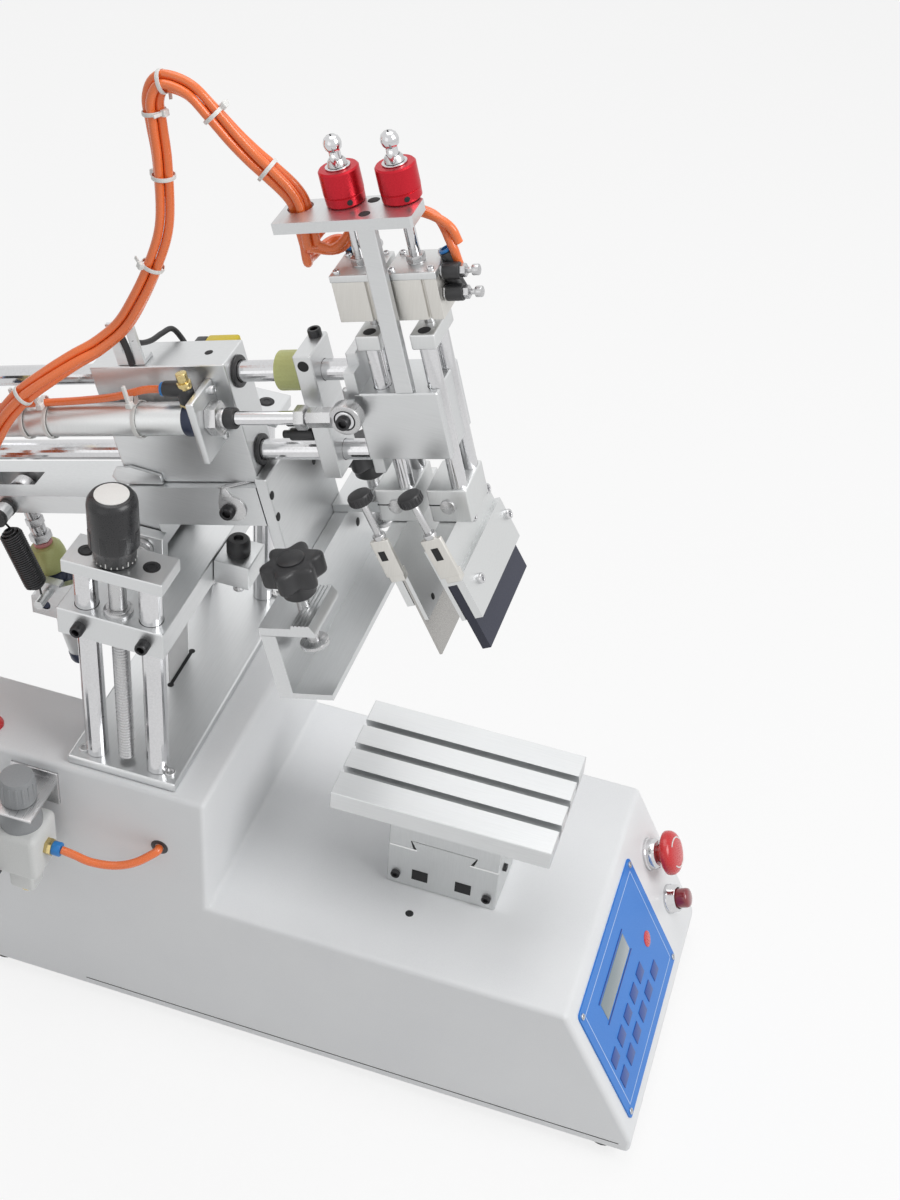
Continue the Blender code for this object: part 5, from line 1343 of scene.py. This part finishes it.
    def adjuster(self, name: str, y: float) -> None:
        """Show the red adjuster with its split ring, its washers, wing nut and slotted ball nut.

        Args:
            name: flood or squeegee.
            y: its cylinder's place along the arm.
        """
        place = Places.arm
        here = place @ Matrix.Translation((self.x, y, 0.0))
        seat = self.plate_high + 0.0003
        high = seat + 0.0247
        body = f"{name}_adjuster"
        split = seat + 0.0072
        knob = Shape.turned([(0.0043, seat), (0.0126, seat), (0.0134, seat + 0.001), (0.0136, split - 0.0005),
                             (0.0132, split - 0.0002), (0.0132, split + 0.0001), (0.0138, split + 0.0007),
                             (0.0138, high - 0.0012), (0.0128, high), (0.0043, high), (0.0043, seat)], 72)
        show(f"{name}_knob", knob, RED_METAL, body, here, [body])
        dots = Shape()
        for degrees in (35, 155, 275):
            spin = Matrix.Rotation(math.radians(degrees), 4, "Z")
            dots.plus(Shape.rod(Axis.X, (0.0, seat + 0.0038), -0.01372, -0.012, 0.002, 0.0002, 24).at(spin))
        show(f"{name}_set_screws", dots, HOLE, body, here)
        washers = Shape.pin(high + 0.0001, high + 0.0012, 0.0086, 0.0003, 40, 0.0045)
        show(f"{name}_washer", washers, CHROME, body, here)
        show(f"{name}_wing_nut", self.wing_nut(high + 0.0015), STEEL, body, here)
        top = seat + 0.036
        ball = Shape.turned([(0.0, top), (0.0042, top), (0.0056, top + 0.0016), (0.0062, top + 0.0046),
                             (0.006, top + 0.0064), (0.005, top + 0.0088), (0.0032, top + 0.0103),
                             (0.0, top + 0.0108)], 40)
        show(f"{name}_ball_nut", ball, CHROME, "head", here)
        slot = Shape.prism(Axis.Y, [(0.0061 * math.cos(a), top + 0.0048 + 0.0061 * math.sin(a)) for a in
                                    (math.radians(8 + 16.4 * k) for k in range(11))], -0.0005, 0.0005)
        show(f"{name}_ball_slot", slot.at(Matrix.Rotation(0.5, 4, "Z")), HOLE, "head", here)

    @staticmethod
    def wing_nut(low: float) -> Shape:
        """Make a wing nut: a coned boss and two rounded ears that flare up and out.

        Args:
            low: where its lower face lies.

        Returns:
            The nut's shape, on the Z axis.
        """
        nut = Shape.turned([(0.0044, low), (0.0068, low), (0.0064, low + 0.0026), (0.0052, low + 0.0044),
                            (0.0044, low + 0.0044), (0.0044, low)], 36)
        for side in (-1, 1):
            ear = Shape.pin(0.0, 0.0105, 0.0026, 0.0008, 20)
            ear.at(Matrix.Diagonal((1.0, 0.75, 1.0, 1.0)))
            flare = Matrix.Rotation(side * 0.72, 4, "Y")
            nut.plus(ear.at(Matrix.Translation((side * 0.005, 0.0, low + 0.0018)) @ flare))
        return nut.at(Matrix.Rotation(0.25, 4, "Z"))

    def hanger(self, name: str, y: float) -> None:
        """Show one crosshead, its two posts and the grip below, with its bolt and slit.

        Args:
            name: flood or squeegee.
            y: its cylinder's place along the arm.
        """
        place = Places.arm
        low, high = self.yoke
        near, far = self.x - 0.02, self.x + 0.02
        bar = Shape.block((near, far), (y - 0.009, y + 0.009), (low, high), 0.0012)
        g0, g1 = self.grip
        back = y + self.grip_reach[1]
        bar.plus(Shape.block((near, far), (y + self.grip_reach[0], back), (g0, g1), 0.0012))
        show(f"{name}_crosshead", bar, ANODISED, name, place, [f"{name}_yoke"])
        posts = Shape()
        for sign in (-1, 1):
            posts.plus(Shape.rod(Axis.Z, (self.x + sign * self.post_x, y), g1 - 0.001, low + 0.001,
                                 self.post_radius, 0.0003, 36))
        show(f"{name}_posts", posts, CHROME, name, place)
        spots = [(self.x + sign * self.post_x, y) for sign in (-1, 1)]
        show(f"{name}_post_wells", holes(Axis.Z, spots, high, 0.0046, 1), HOLE, name, place)
        bolt_y, bolt_z = y + 0.009, 0.03
        bolt = Shape.rod(Axis.X, (bolt_y, bolt_z), near - 0.0022, near + 0.001, 0.0058, 0.0007, 40)
        bolt.plus(Shape.block((near - 0.0024, near - 0.0018), (bolt_y - 0.0048, bolt_y + 0.0048),
                              (bolt_z - 0.0004, bolt_z + 0.0004), 0.0))
        show(f"{name}_grip_bolt", bolt, STEEL, name, place)
        slit = Shape.block((near - 0.0001, near + 0.001), (bolt_y + 0.0062, back),
                           (bolt_z + 0.0002, bolt_z + 0.0012), 0.0)
        show(f"{name}_grip_slit", slit, HOLE, name, place)

    @staticmethod
    def angle_knob(place: Matrix, name: str, top: float) -> None:
        """Show the knurled knob that sets a blade's angle, on its screw above the side bracket.

        Args:
            place: the blade's frame.
            name: the blade's body.
            top: the bracket's upper edge.
        """
        spot = (-0.075, 0.002)
        knob = Shape.rod(Axis.Z, spot, 0.0425, 0.0505, 0.0086, 0.0014, 40)
        ribs = [Shape.block((0.008, 0.0091), (-0.0006, 0.0006), (0.044, 0.049), 0.0003,
                            1) .at(Matrix.Translation((*spot, 0.0))
                                   @ Matrix.Rotation(2 * math.pi * k / 20, 4, "Z")) for k in range(20)]
        show(f"{name}_angle_knob", knob.plus(*ribs), BLACK, name, place)
        shaft = Shape.rod(Axis.Z, spot, top - 0.002, 0.043, 0.0027, 0.0004, 24)
        shaft.plus(Shape.rod(Axis.Z, spot, top - 0.0002, top + 0.0036, 0.0048, 0.0008, 32))
        show(f"{name}_angle_screw", shaft, STEEL, name, place)

    @staticmethod
    def tilted(y: float, degrees: float) -> Matrix:
        """Return the frame of a blade: under its grip, leaning forward at the lower edge."""
        return Places.arm @ Matrix.Translation((0.0, y + 0.006,
                                                0.0157)) @ Matrix.Rotation(-math.radians(degrees), 4, "X")

    def squeegee(self) -> None:
        """Show the squeegee's holder plates, their screws and the navy blade."""
        place = self.tilted(self.jack_y[1], 15.0)
        carry(ANODISED, "squeegee_holder")
        carry(NAVY, "squeegee_blade")
        front = screws(Axis.Y, [(-0.056, -0.04), (0.0207, -0.0375)], -0.0048, 0.004, -1, 0.0034)
        front.plus(screws(Axis.Y, [(-0.018, -0.0105), (0.018, -0.0105)], 0.0, 0.004, -1, 0.0034))
        show("squeegee_screws", front, CHROME, "squeegee", place)
        self.bracket(place, "squeegee", (-0.0067, 0.0093), 0.0135, (-0.0013, 0.0044, -0.0043, 0.0063))
        self.angle_knob(place, "squeegee", 0.0135)

    @staticmethod
    def bracket(place: Matrix, name: str, v: tuple[float, float], top: float,
                window: tuple[float, float, float, float]) -> None:
        """Show the pale plate at a holder's near end, with its square window.

        Args:
            place: the blade's frame.
            name: the blade's body.
            v: the plate's front and rear edge.
            top: its upper edge.
            window: the window's low and high place along both edges.
        """
        plate = Shape.block((-0.0795, -0.0755), v, (-0.02, top), 0.0008)
        plate.plus(Shape.block((-0.079, -0.0715), (v[0] + 0.001, v[0] + 0.013), (-0.025, -0.016), 0.0008))
        show(f"{name}_side_plate", plate, CHAMPAGNE, name, place)
        v0, v1, w0, w1 = window
        opening = Shape.block((-0.07965, -0.079), (v0, v1), (w0, w1), 0.0)
        show(f"{name}_side_window", opening, HOLE, name, place)

    def flood(self) -> None:
        """Show the flood blade's holder, its screws and the steel blade."""
        place = self.tilted(self.jack_y[0], 12.0)
        carry(ANODISED, "flood_holder")
        carry(BLADE_STEEL, "flood_blade")
        self.bracket(place, "flood", (-0.0049, 0.0094), 0.0115, (0.0011, 0.0064, -0.0054, 0.0028))
        self.angle_knob(place, "flood", 0.0115)
        show("flood_hole", holes(Axis.Y, [(-0.053, -0.059)], -0.0021, 0.0026, -1), HOLE, "flood", place)
        spots = [(-0.02, -0.04), (0.0205, -0.04)]
        show("flood_screws", screws(Axis.Y, spots, 0.0095, 0.004, 1, 0.0034), STEEL, "flood", place)


@dataclass
class AirService:
    """The regulator on the cabinet's side: bracket, body, knob, gauge and fittings."""

    side: float = -0.135
    y: float = 0.53
    half: float = 0.021
    x: float = -0.164
    low: float = 0.188
    top: float = 0.236
    shelf: float = 0.26

    def build(self) -> None:
        """Build and show the regulator's pieces."""
        place = Places.machine
        y0, y1 = self.y - self.half, self.y + self.half
        plate = Shape.block((self.side - 0.0025, self.side), (y0, y1),
                            (self.top - 0.001, self.shelf + 0.01), 0.0006)
        plate.plus(Shape.block((self.side - 0.05, self.side - 0.001), (y0, y1),
                               (self.shelf, self.shelf + 0.0024), 0.0008))
        plate.plus(screws(Axis.X, [(y0 + 0.007, 0.252), (y1 - 0.007, 0.252)], self.side - 0.0025,
                          0.0032, -1, 0.0026))
        show("regulator_bracket", plate, STEEL, "machine", place)
        body = Shape.block((self.side - 0.05, self.side - 0.008), (y0, y1), (self.low, self.top), 0.006, 4)
        body.plus(Shape.block((self.x - 0.01, self.x + 0.01), (self.y - 0.01, self.y + 0.012),
                              (0.16, self.low + 0.002), 0.003),
                  Shape.block((self.x - 0.001, self.side - 0.012), (y1 - 0.01, y1 + 0.005),
                              (0.176, self.low + 0.004), 0.003))
        show("regulator_body", body, PALE_CAST, "machine", place, ["air_regulator"])
        here = place @ Matrix.Translation((self.x, self.y, 0.0))
        bonnet = Shape.turned([(0.0, self.top - 0.002), (0.0175, self.top - 0.002),
                               (0.0175, self.top + 0.004), (0.0165, self.top + 0.006),
                               (0.016, self.shelf - 0.002), (0.015, self.shelf), (0.0, self.shelf)], 48)
        show("regulator_bonnet", bonnet, GREY, "machine", here)
        low = self.shelf + 0.0028
        knob = Shape.turned([(0.0, low), (0.0144, low), (0.0148, low + 0.001), (0.014, low + 0.022),
                             (0.0128, low + 0.0246), (0.01, low + 0.0251), (0.0, low + 0.0251)], 48)
        ribs = around(16, lambda k: Shape.block((0.0132, 0.0149), (-0.0011, 0.0011),
                                                (low + 0.002, low + 0.0215), 0.0007, 2))
        show("regulator_grip", knob.plus(*ribs), GREY, "regulator_knob", here,
             ["regulator_knob"])
        self.gauge()
        brass = Shape.hexagon(Axis.Y, (self.x, 0.213), y0 - 0.006, y0 + 0.001, 0.013)
        brass.plus(Shape.rod(Axis.Z, (self.x, self.y), 0.156, 0.1605, 0.007, 0.0008, 32))
        show("regulator_fitting", brass, BRASS, "machine", place)
        ring = Shape.rod(Axis.Y, (self.x, 0.213), y0 - 0.013, y0 - 0.0058, 0.006, 0.0007, 32)
        show("regulator_ring", ring, BLUE_RING, "machine", place)

    def gauge(self) -> None:
        """Show the small pressure gauge, with its bezel, dial face and pointer."""
        place = Places.machine
        at = (self.y + 0.032, self.low - 0.012)
        face = self.side - 0.063
        case = Shape.rod(Axis.X, at, face + 0.003, face + 0.029, 0.0126, 0.001, 48)
        case.plus(Shape.rod(Axis.X, (at[0] - 0.012, at[1] + 0.006), face + 0.027, self.side - 0.016,
                            0.0055, 0.0006, 24))
        show("gauge_case", case, BLACK, "machine", place)
        rim = Shape.rod(Axis.X, at, face, face + 0.004, 0.013, 0.0006, 48, 0.0116)
        show("gauge_rim", rim, STEEL, "machine", place)
        dial = Shape.rod(Axis.X, at, face + 0.0012, face + 0.003, 0.0117, 0.0002, 48)
        show("gauge_dial", dial, GAUGE_FACE, "machine", place)
        marks = Shape()
        for step in range(11):
            angle = math.radians(225 - step * 27)
            spin = Matrix.Translation((face + 0.0011, *at)) @ Matrix.Rotation(angle, 4, "X")
            marks.plus(Shape.block((-0.0001, 0.0001), (0.0085, 0.0105), (-0.0002, 0.0002), 0.0).at(spin))
        spin = Matrix.Translation((face + 0.001, *at)) @ Matrix.Rotation(math.radians(140), 4, "X")
        marks.plus(Shape.block((-0.0001, 0.0001), (-0.002, 0.008), (-0.0004, 0.0004), 0.0).at(spin))
        show("gauge_marks", marks, BLACK, "machine", place)


@dataclass
class Hoses:
    """The hose bundle of the print head, the stroke cylinder's hoses, the cables and their ties."""

    radius: float = 0.0032
    spread: float = 0.0046
    twist: float = 5.0
    count: int = 240
    route: tuple[Point, ...] = ((-0.0245, -0.1885, 0.232), (-0.0245, -0.1885, 0.246),
                                (-0.0245, -0.1885, 0.257), (-0.0245, -0.1876, 0.2655),
                                (-0.0245, -0.183, 0.2745), (-0.0245, -0.174, 0.286), (-0.0245, -0.164, 0.298),
                                (-0.0245, -0.154, 0.312), (-0.0245, -0.143, 0.33), (-0.0245, -0.131, 0.347),
                                (-0.025, -0.114, 0.354), (-0.027, -0.105, 0.344), (-0.029, -0.103, 0.326),
                                (-0.031, -0.1, 0.3), (-0.034, -0.09, 0.259), (-0.038, -0.074, 0.23),
                                (-0.042, -0.056, 0.206), (-0.045, -0.038, 0.187), (-0.052, -0.018, 0.175),
                                (-0.062, -0.002, 0.17), (-0.072, 0.016, 0.163), (-0.08, 0.038, 0.152),
                                (-0.084, 0.058, 0.136), (-0.085, 0.078, 0.114), (-0.085, 0.1, 0.09),
                                (-0.086, 0.126, 0.064), (-0.09, 0.149, 0.037), (-0.095, 0.168, 0.006),
                                (-0.096, 0.184, -0.042), (-0.096, 0.197, -0.09), (-0.096, 0.205, -0.118),
                                (-0.096, 0.2075, -0.126))
    slot_point: int = 4
    clip_point: int = 16
    rear_point: int = 24
    tail_point: int = 28
    ties: tuple[float, ...] = (5.2, 7.9, 10.0, 11.6, 13.2, 15.1, 21.0, 24.0, 27.0)
    regulator_route: tuple[Point, ...] = (
        (-0.164, 0.4955, 0.213), (-0.164, 0.485, 0.2115), (-0.163, 0.47, 0.2075), (-0.158, 0.452, 0.2055),
        (-0.152, 0.436, 0.2095), (-0.141, 0.4225, 0.2158), (-0.1358, 0.422, 0.216))
    regulator_radius: float = 0.0035
    drive_radius: float = 0.003
    drive_tie_y: tuple[float, ...] = (-0.035, 0.04, 0.06)

    def __post_init__(self) -> None:
        """Work out the bundle's centreline and the three stretches that it moves in."""
        self.centre = [Places.arm @ p for p in smooth_route(self.route, self.count)]
        self.frames = ring_frames(self.centre)
        spans = len(self.route) - 1
        self.clip = round(self.clip_point / spans * (self.count - 1))
        self.tail = round(self.tail_point / spans * (self.count - 1))
        clip, tail = self.centre[self.clip], self.centre[self.tail]
        slot = self.centre[round(self.slot_point / spans * (self.count - 1))]
        rear = self.centre[round(self.rear_point / spans * (self.count - 1))]
        self.front_bend = Bend("head", "arm", slot, clip)
        self.rear_bend = Bend("arm", "lift", rear, tail)
        self.deck_bend = Bend("lift", "machine", tail, self.centre[-1])

    def build(self) -> None:
        """Build and show the hoses, cables and ties."""
        for strand in range(4):
            self.strand(strand)
        for number, point in enumerate(self.ties):
            self.tie(f"bundle_tie_{number + 1}", round(point / (len(self.route) - 1) * (self.count - 1)))
        points = [Places.machine @ p for p in smooth_route(self.regulator_route, 40)]
        tube("regulator_tube", points, self.regulator_radius, ORANGE, "machine",
             ["regulator_hose"])
        self.head_hoses()
        self.drive_hoses()
        self.cables()

    def strand(self, number: int) -> None:
        """Show one hose of the bundle in its stretches between head, arm, lift and cabinet.

        Args:
            number: which of the four, from 0.
        """
        points = []
        for index, here in enumerate(self.frames):
            angle = math.pi / 2 * number + math.pi / 4 + self.twist * index / self.count
            points.append(here @ Vector((self.spread * math.cos(angle), self.spread * math.sin(angle), 0.0)))
        stretches = ((0, self.clip, self.front_bend, "front"), (self.clip, self.tail, self.rear_bend, "rear"),
                     (self.tail, self.count - 1, self.deck_bend, "deck"))
        for first, last, bend, name in stretches:
            stands_for = ["hose_loop"] if name == "rear" and number == 0 else []
            tube(f"{name}_hose_{number + 1}", points[first:last + 1], self.radius, ORANGE, bend,
                 stands_for)

    def holder(self, index: int) -> Bend:
        """Return the two bodies that the bundle bends between at that point of its centreline."""
        if index <= self.clip:
            return self.front_bend
        return self.rear_bend if index <= self.tail else self.deck_bend

    def tie(self, name: str, index: int, radius: float = 0.0083) -> None:
        """Show a white cable tie round the bundle: its band, its head and its cut tail.

        Args:
            name: the tie's name.
            index: its point on the bundle's centreline.
            radius: the band's outer radius.
        """
        here = self.frames[index]
        band = Shape.turned([(radius - 0.0006, -0.0014), (radius, -0.0014), (radius + 0.0003, 0.0),
                             (radius, 0.0014), (radius - 0.0006, 0.0014), (radius - 0.0006, -0.0014)], 40)
        band.plus(Shape.block((radius - 0.0004, radius + 0.0036), (-0.0026, 0.0026), (-0.0024, 0.0024),
                              0.0008), Shape.block((radius + 0.0006, radius + 0.0016), (0.0024, 0.01),
                                                   (-0.0012, 0.0012), 0.0003))
        turn = Matrix.Rotation(0.9 + 1.7 * index, 4, "Z")
        show(name, band.at(turn), TIE, self.holder(index), here)

    def head_hoses(self) -> None:
        """Show the hoses that run on under the top plate to the jacks' fittings."""
        start = [self.frames[0] @ Vector((self.spread * math.cos(a), self.spread * math.sin(a), 0.0))
                 for a in (math.pi / 4, 3 * math.pi / 4, 5 * math.pi / 4, 7 * math.pi / 4)]
        local = [Places.arm.inverted() @ p for p in start]
        local.sort(key=lambda p: (round(p.y, 4), p.x))
        runs = (((-0.018, -0.205, 0.227), (-0.002, -0.225, 0.244), (-0.004, -0.25, 0.245),
                 (-0.012, -0.272, 0.244), (-0.0148, -0.286, 0.236), (-0.0148, -0.29, 0.224)),
                ((-0.012, -0.205, 0.223), (0.003, -0.225, 0.243), (0.002, -0.25, 0.244),
                 (-0.006, -0.274, 0.24), (-0.016, -0.285, 0.225), (-0.0168, -0.288, 0.209)),
                ((-0.018, -0.186, 0.225), (-0.006, -0.184, 0.228), (0.01, -0.196, 0.235),
                 (0.011, -0.207, 0.227)), ((-0.026, -0.184, 0.22), (-0.01, -0.18, 0.216),
                                           (0.012, -0.19, 0.218), (0.011, -0.215, 0.212)))
        for number, (first, run) in enumerate(zip(local, runs)):
            points = [Places.arm @ p for p in smooth_route([tuple(first), *run], 44)]
            tube(f"head_hose_{number + 1}", points, self.radius, ORANGE, "head")

    def drive_hoses(self) -> None:
        """Show the stroke cylinder's two hoses with their ties round the cylinder."""
        front = ((-0.055, -0.061, 0.14), (-0.055, -0.045, 0.1395), (-0.0555, -0.02, 0.1345),
                 (-0.056, 0.01, 0.132), (-0.058, 0.04, 0.1318), (-0.063, 0.065, 0.133),
                 (-0.0675, 0.085, 0.13), (-0.0705, 0.105, 0.112), (-0.0725, 0.126, 0.078),
                 (-0.0755, 0.149, 0.044), (-0.079, 0.17, 0.005), (-0.08, 0.184, -0.042))
        back = ((-0.055, 0.108, 0.14), (-0.055, 0.116, 0.139), (-0.056, 0.132, 0.125), (-0.058, 0.148, 0.095),
                (-0.062, 0.162, 0.05), (-0.068, 0.178, 0.005), (-0.072, 0.188, -0.042))
        routes = (("front", front, 100, 68), ("back", back, 60, 20))
        for name, route, count, leaves in routes:
            points = [Places.arm @ p for p in smooth_route(route, count)]
            tube(f"drive_hose_{name}", points, self.drive_radius, ORANGE,
                 Bend("arm", "lift", points[leaves], points[-1]))
        for name, route, _, _ in routes:
            begin = Places.arm @ Vector(route[-1])
            foot = self.centre[-1] + Vector(((begin.x - self.centre[-1].x) * 0.45, 0.0, 0.0))
            path = [begin, begin + (foot - begin) * 0.5 + Vector((0.0, 0.002, 0.0)), foot]
            points = smooth_route([tuple(p) for p in path], 24)
            tube(f"drive_hose_{name}_tail", points, self.drive_radius, ORANGE,
                 Bend("lift", "machine", points[0], points[-1]))
        bands = Shape()
        for y in self.drive_tie_y:
            hoop = Shape.turned([(0.0131, -0.0016), (0.0139, -0.0016), (0.0141, 0.0), (0.0139, 0.0016),
                                 (0.0131, 0.0016), (0.0131, -0.0016)], 56)
            hoop.at(Matrix.Translation((-0.055, y, 0.115)) @ Matrix.Rotation(math.pi / 2, 4, "X"))
            loop = Shape.turned([(0.0036, -0.0016), (0.0043, -0.0016), (0.0043, 0.0016), (0.0036, 0.0016),
                                 (0.0036, -0.0016)], 28)
            loop.at(Matrix.Translation((-0.0565, y, 0.1324)) @ Matrix.Rotation(math.pi / 2, 4, "X"))
            head = Shape.block((-0.0665, -0.061), (y - 0.0024, y + 0.0024), (0.13, 0.1345), 0.0008)
            tail = Shape.block((-0.0655, -0.0625), (y - 0.0012, y + 0.0012), (0.134, 0.148), 0.0003)
            bands.plus(hoop, loop, head, tail)
        show("drive_ties", bands, TIE, "arm", Places.arm)

    def cables(self) -> None:
        """Show the stroke sensor's black cable and the stub beside the hose clip."""
        run = ((-0.0345, -0.036, 0.17), (-0.03, -0.038, 0.164), (-0.018, -0.04, 0.159),
               (-0.006, -0.043, 0.158), (0.004, -0.046, 0.156), (0.008, -0.049, 0.146),
               (0.0055, -0.0545, 0.133))
        points = [Places.arm @ p for p in smooth_route(run, 48)]
        tube("sensor_cable", points, 0.0021, CABLE, "arm")
        stub = ((-0.0365, -0.03, 0.15), (-0.0365, -0.03, 0.162), (-0.0368, -0.029, 0.172),
                (-0.0372, -0.027, 0.183))
        points = [Places.arm @ p for p in smooth_route(stub, 24)]
        tube("cable_stub", points, 0.0026, CABLE, "arm")


@dataclass(frozen=True)
class Lamp:
    """A square soft lamp: its place, its side and its power."""

    name: str
    spot: Point
    size: float
    watts: float


@dataclass
class Studio:
    """The camera at the photograph's angle, soft lamps, a pale floor and a white surround."""

    spot: Point = (-1.0163, -0.3479, 1.3723)
    azimuth: float = -73.977
    elevation: float = 39.739
    roll: float = 3.752
    lens: float = 55.14
    shift: tuple[float, float] = (0.0471, -0.0275)
    lamps: tuple[Lamp, ...] = (Lamp("key", (-0.3, -2.2, 2.4), 1.6, 46.0),
                               Lamp("fill", (-2.4, 0.9, 1.3), 1.8, 4.0),
                               Lamp("top", (0.6, 0.2, 3.0), 2.2, 28.0))
    aim: Point = (0.0, 0.0, 0.3)
    floor_half: float = 12.0
    floor_tone: float = 0.86
    floor_white: float = 0.8
    world_light: float = 0.32

    def build(self) -> None:
        """Make the camera, the lamps, the floor and the world."""
        self.camera()
        for lamp in self.lamps:
            self.hang(lamp)
        self.floor()
        self.surround()
        bpy.context.scene.view_settings.view_transform = "Standard"

    def camera(self) -> None:
        """Make the camera."""
        azimuth, elevation = math.radians(self.azimuth), math.radians(self.elevation)
        back = Vector((math.sin(azimuth) * math.cos(elevation), -math.cos(azimuth) * math.cos(elevation),
                       math.sin(elevation)))
        right = Vector((math.cos(azimuth), math.sin(azimuth), 0.0))
        turn = Matrix((right, back.cross(right), back)).transposed().to_4x4()
        data = bpy.data.cameras.new("camera")
        data.sensor_fit = "VERTICAL"
        data.sensor_height = 36.0
        data.lens = self.lens
        data.shift_x, data.shift_y = self.shift
        data.clip_start, data.clip_end = 0.05, 50.0
        camera = bpy.data.objects.new("camera", data)
        roll = Matrix.Rotation(math.radians(self.roll), 4, "Z")
        camera.matrix_world = Matrix.Translation(self.spot) @ turn @ roll
        bpy.context.collection.objects.link(camera)
        bpy.context.scene.camera = camera

    def hang(self, lamp: Lamp) -> None:
        """Hang a soft lamp so that it faces the machine.

        Args:
            lamp: its place, size and power.
        """
        data = bpy.data.lights.new(lamp.name, "AREA")
        data.size = lamp.size
        data.energy = lamp.watts
        holder = bpy.data.objects.new(lamp.name, data)
        holder.location = lamp.spot
        aim = Vector(self.aim) - Vector(lamp.spot)
        holder.rotation_euler = aim.to_track_quat("-Z", "Y").to_euler()
        bpy.context.collection.objects.link(holder)

    @staticmethod
    def seen(nodes: bpy.types.Nodes, links: bpy.types.NodeLinks, *others: str) -> bpy.types.NodeSocket:
        """Tell the camera's rays, and other kinds that are named, from the rest.

        Args:
            nodes: the material's or world's nodes.
            links: its links.
            others: the Light Path outputs that count too.

        Returns:
            A value that is 1 for those rays and 0 for others.
        """
        path = nodes.new("ShaderNodeLightPath")
        total = path.outputs["Is Camera Ray"]
        for name in others:
            add = nodes.new("ShaderNodeMath")
            add.operation = "MAXIMUM"
            links.new(total, add.inputs[0])
            links.new(path.outputs[name], add.inputs[1])
            total = add.outputs["Value"]
        return total

    def floor(self) -> None:
        """Make the pale floor, which keeps the machine's shadow."""
        mesh = bpy.data.meshes.new("floor")
        bm = bmesh.new()
        bmesh.ops.create_grid(bm, x_segments=1, y_segments=1, size=self.floor_half)
        bm.to_mesh(mesh)
        bm.free()
        material = bpy.data.materials.new("floor_white")
        material.use_nodes = True
        nodes, links = material.node_tree.nodes, material.node_tree.links
        diffuse = nodes["Principled BSDF"]
        diffuse.inputs["Base Color"].default_value = (self.floor_tone, self.floor_tone, self.floor_tone, 1.0)
        diffuse.inputs["Roughness"].default_value = 0.9
        glow = nodes.new("ShaderNodeEmission")
        glow.inputs["Color"].default_value = (1.0, 1.0, 1.0, 1.0)
        share = nodes.new("ShaderNodeMath")
        share.operation = "MULTIPLY"
        share.inputs[1].default_value = self.floor_white
        links.new(self.seen(nodes, links, "Is Glossy Ray", "Is Transmission Ray"), share.inputs[0])
        mix = nodes.new("ShaderNodeMixShader")
        links.new(share.outputs["Value"], mix.inputs["Fac"])
        links.new(diffuse.outputs["BSDF"], mix.inputs[1])
        links.new(glow.outputs["Emission"], mix.inputs[2])
        links.new(mix.outputs["Shader"], nodes["Material Output"].inputs["Surface"])
        mesh.materials.append(material)
        floor = bpy.data.objects.new("floor", mesh)
        bpy.context.collection.objects.link(floor)

    def surround(self) -> None:
        """Make the world: white where it is seen, soft and dimmer as light."""
        world = bpy.data.worlds.new("surround")
        bpy.context.scene.world = world
        world.use_nodes = True
        nodes, links = world.node_tree.nodes, world.node_tree.links
        back = nodes["Background"]
        back.inputs["Color"].default_value = (1.0, 1.0, 1.0, 1.0)
        strength = nodes.new("ShaderNodeMapRange")
        strength.inputs["To Min"].default_value = self.world_light
        strength.inputs["To Max"].default_value = 1.0
        links.new(self.seen(nodes, links, "Is Glossy Ray", "Is Transmission Ray"), strength.inputs["Value"])
        links.new(strength.outputs["Result"], back.inputs["Strength"])


def main() -> None:
    """Dress every sub-assembly, light it and finish the scene."""
    for part in (Cabinet(), ControlFace(), Table(), Lift(), RockingDrive(), Arm(), Head(), AirService(),
                 Hoses(), Studio()):
        log.info("building %s", type(part).__name__)
        part.build()


if __name__ == "__main__":
    main()
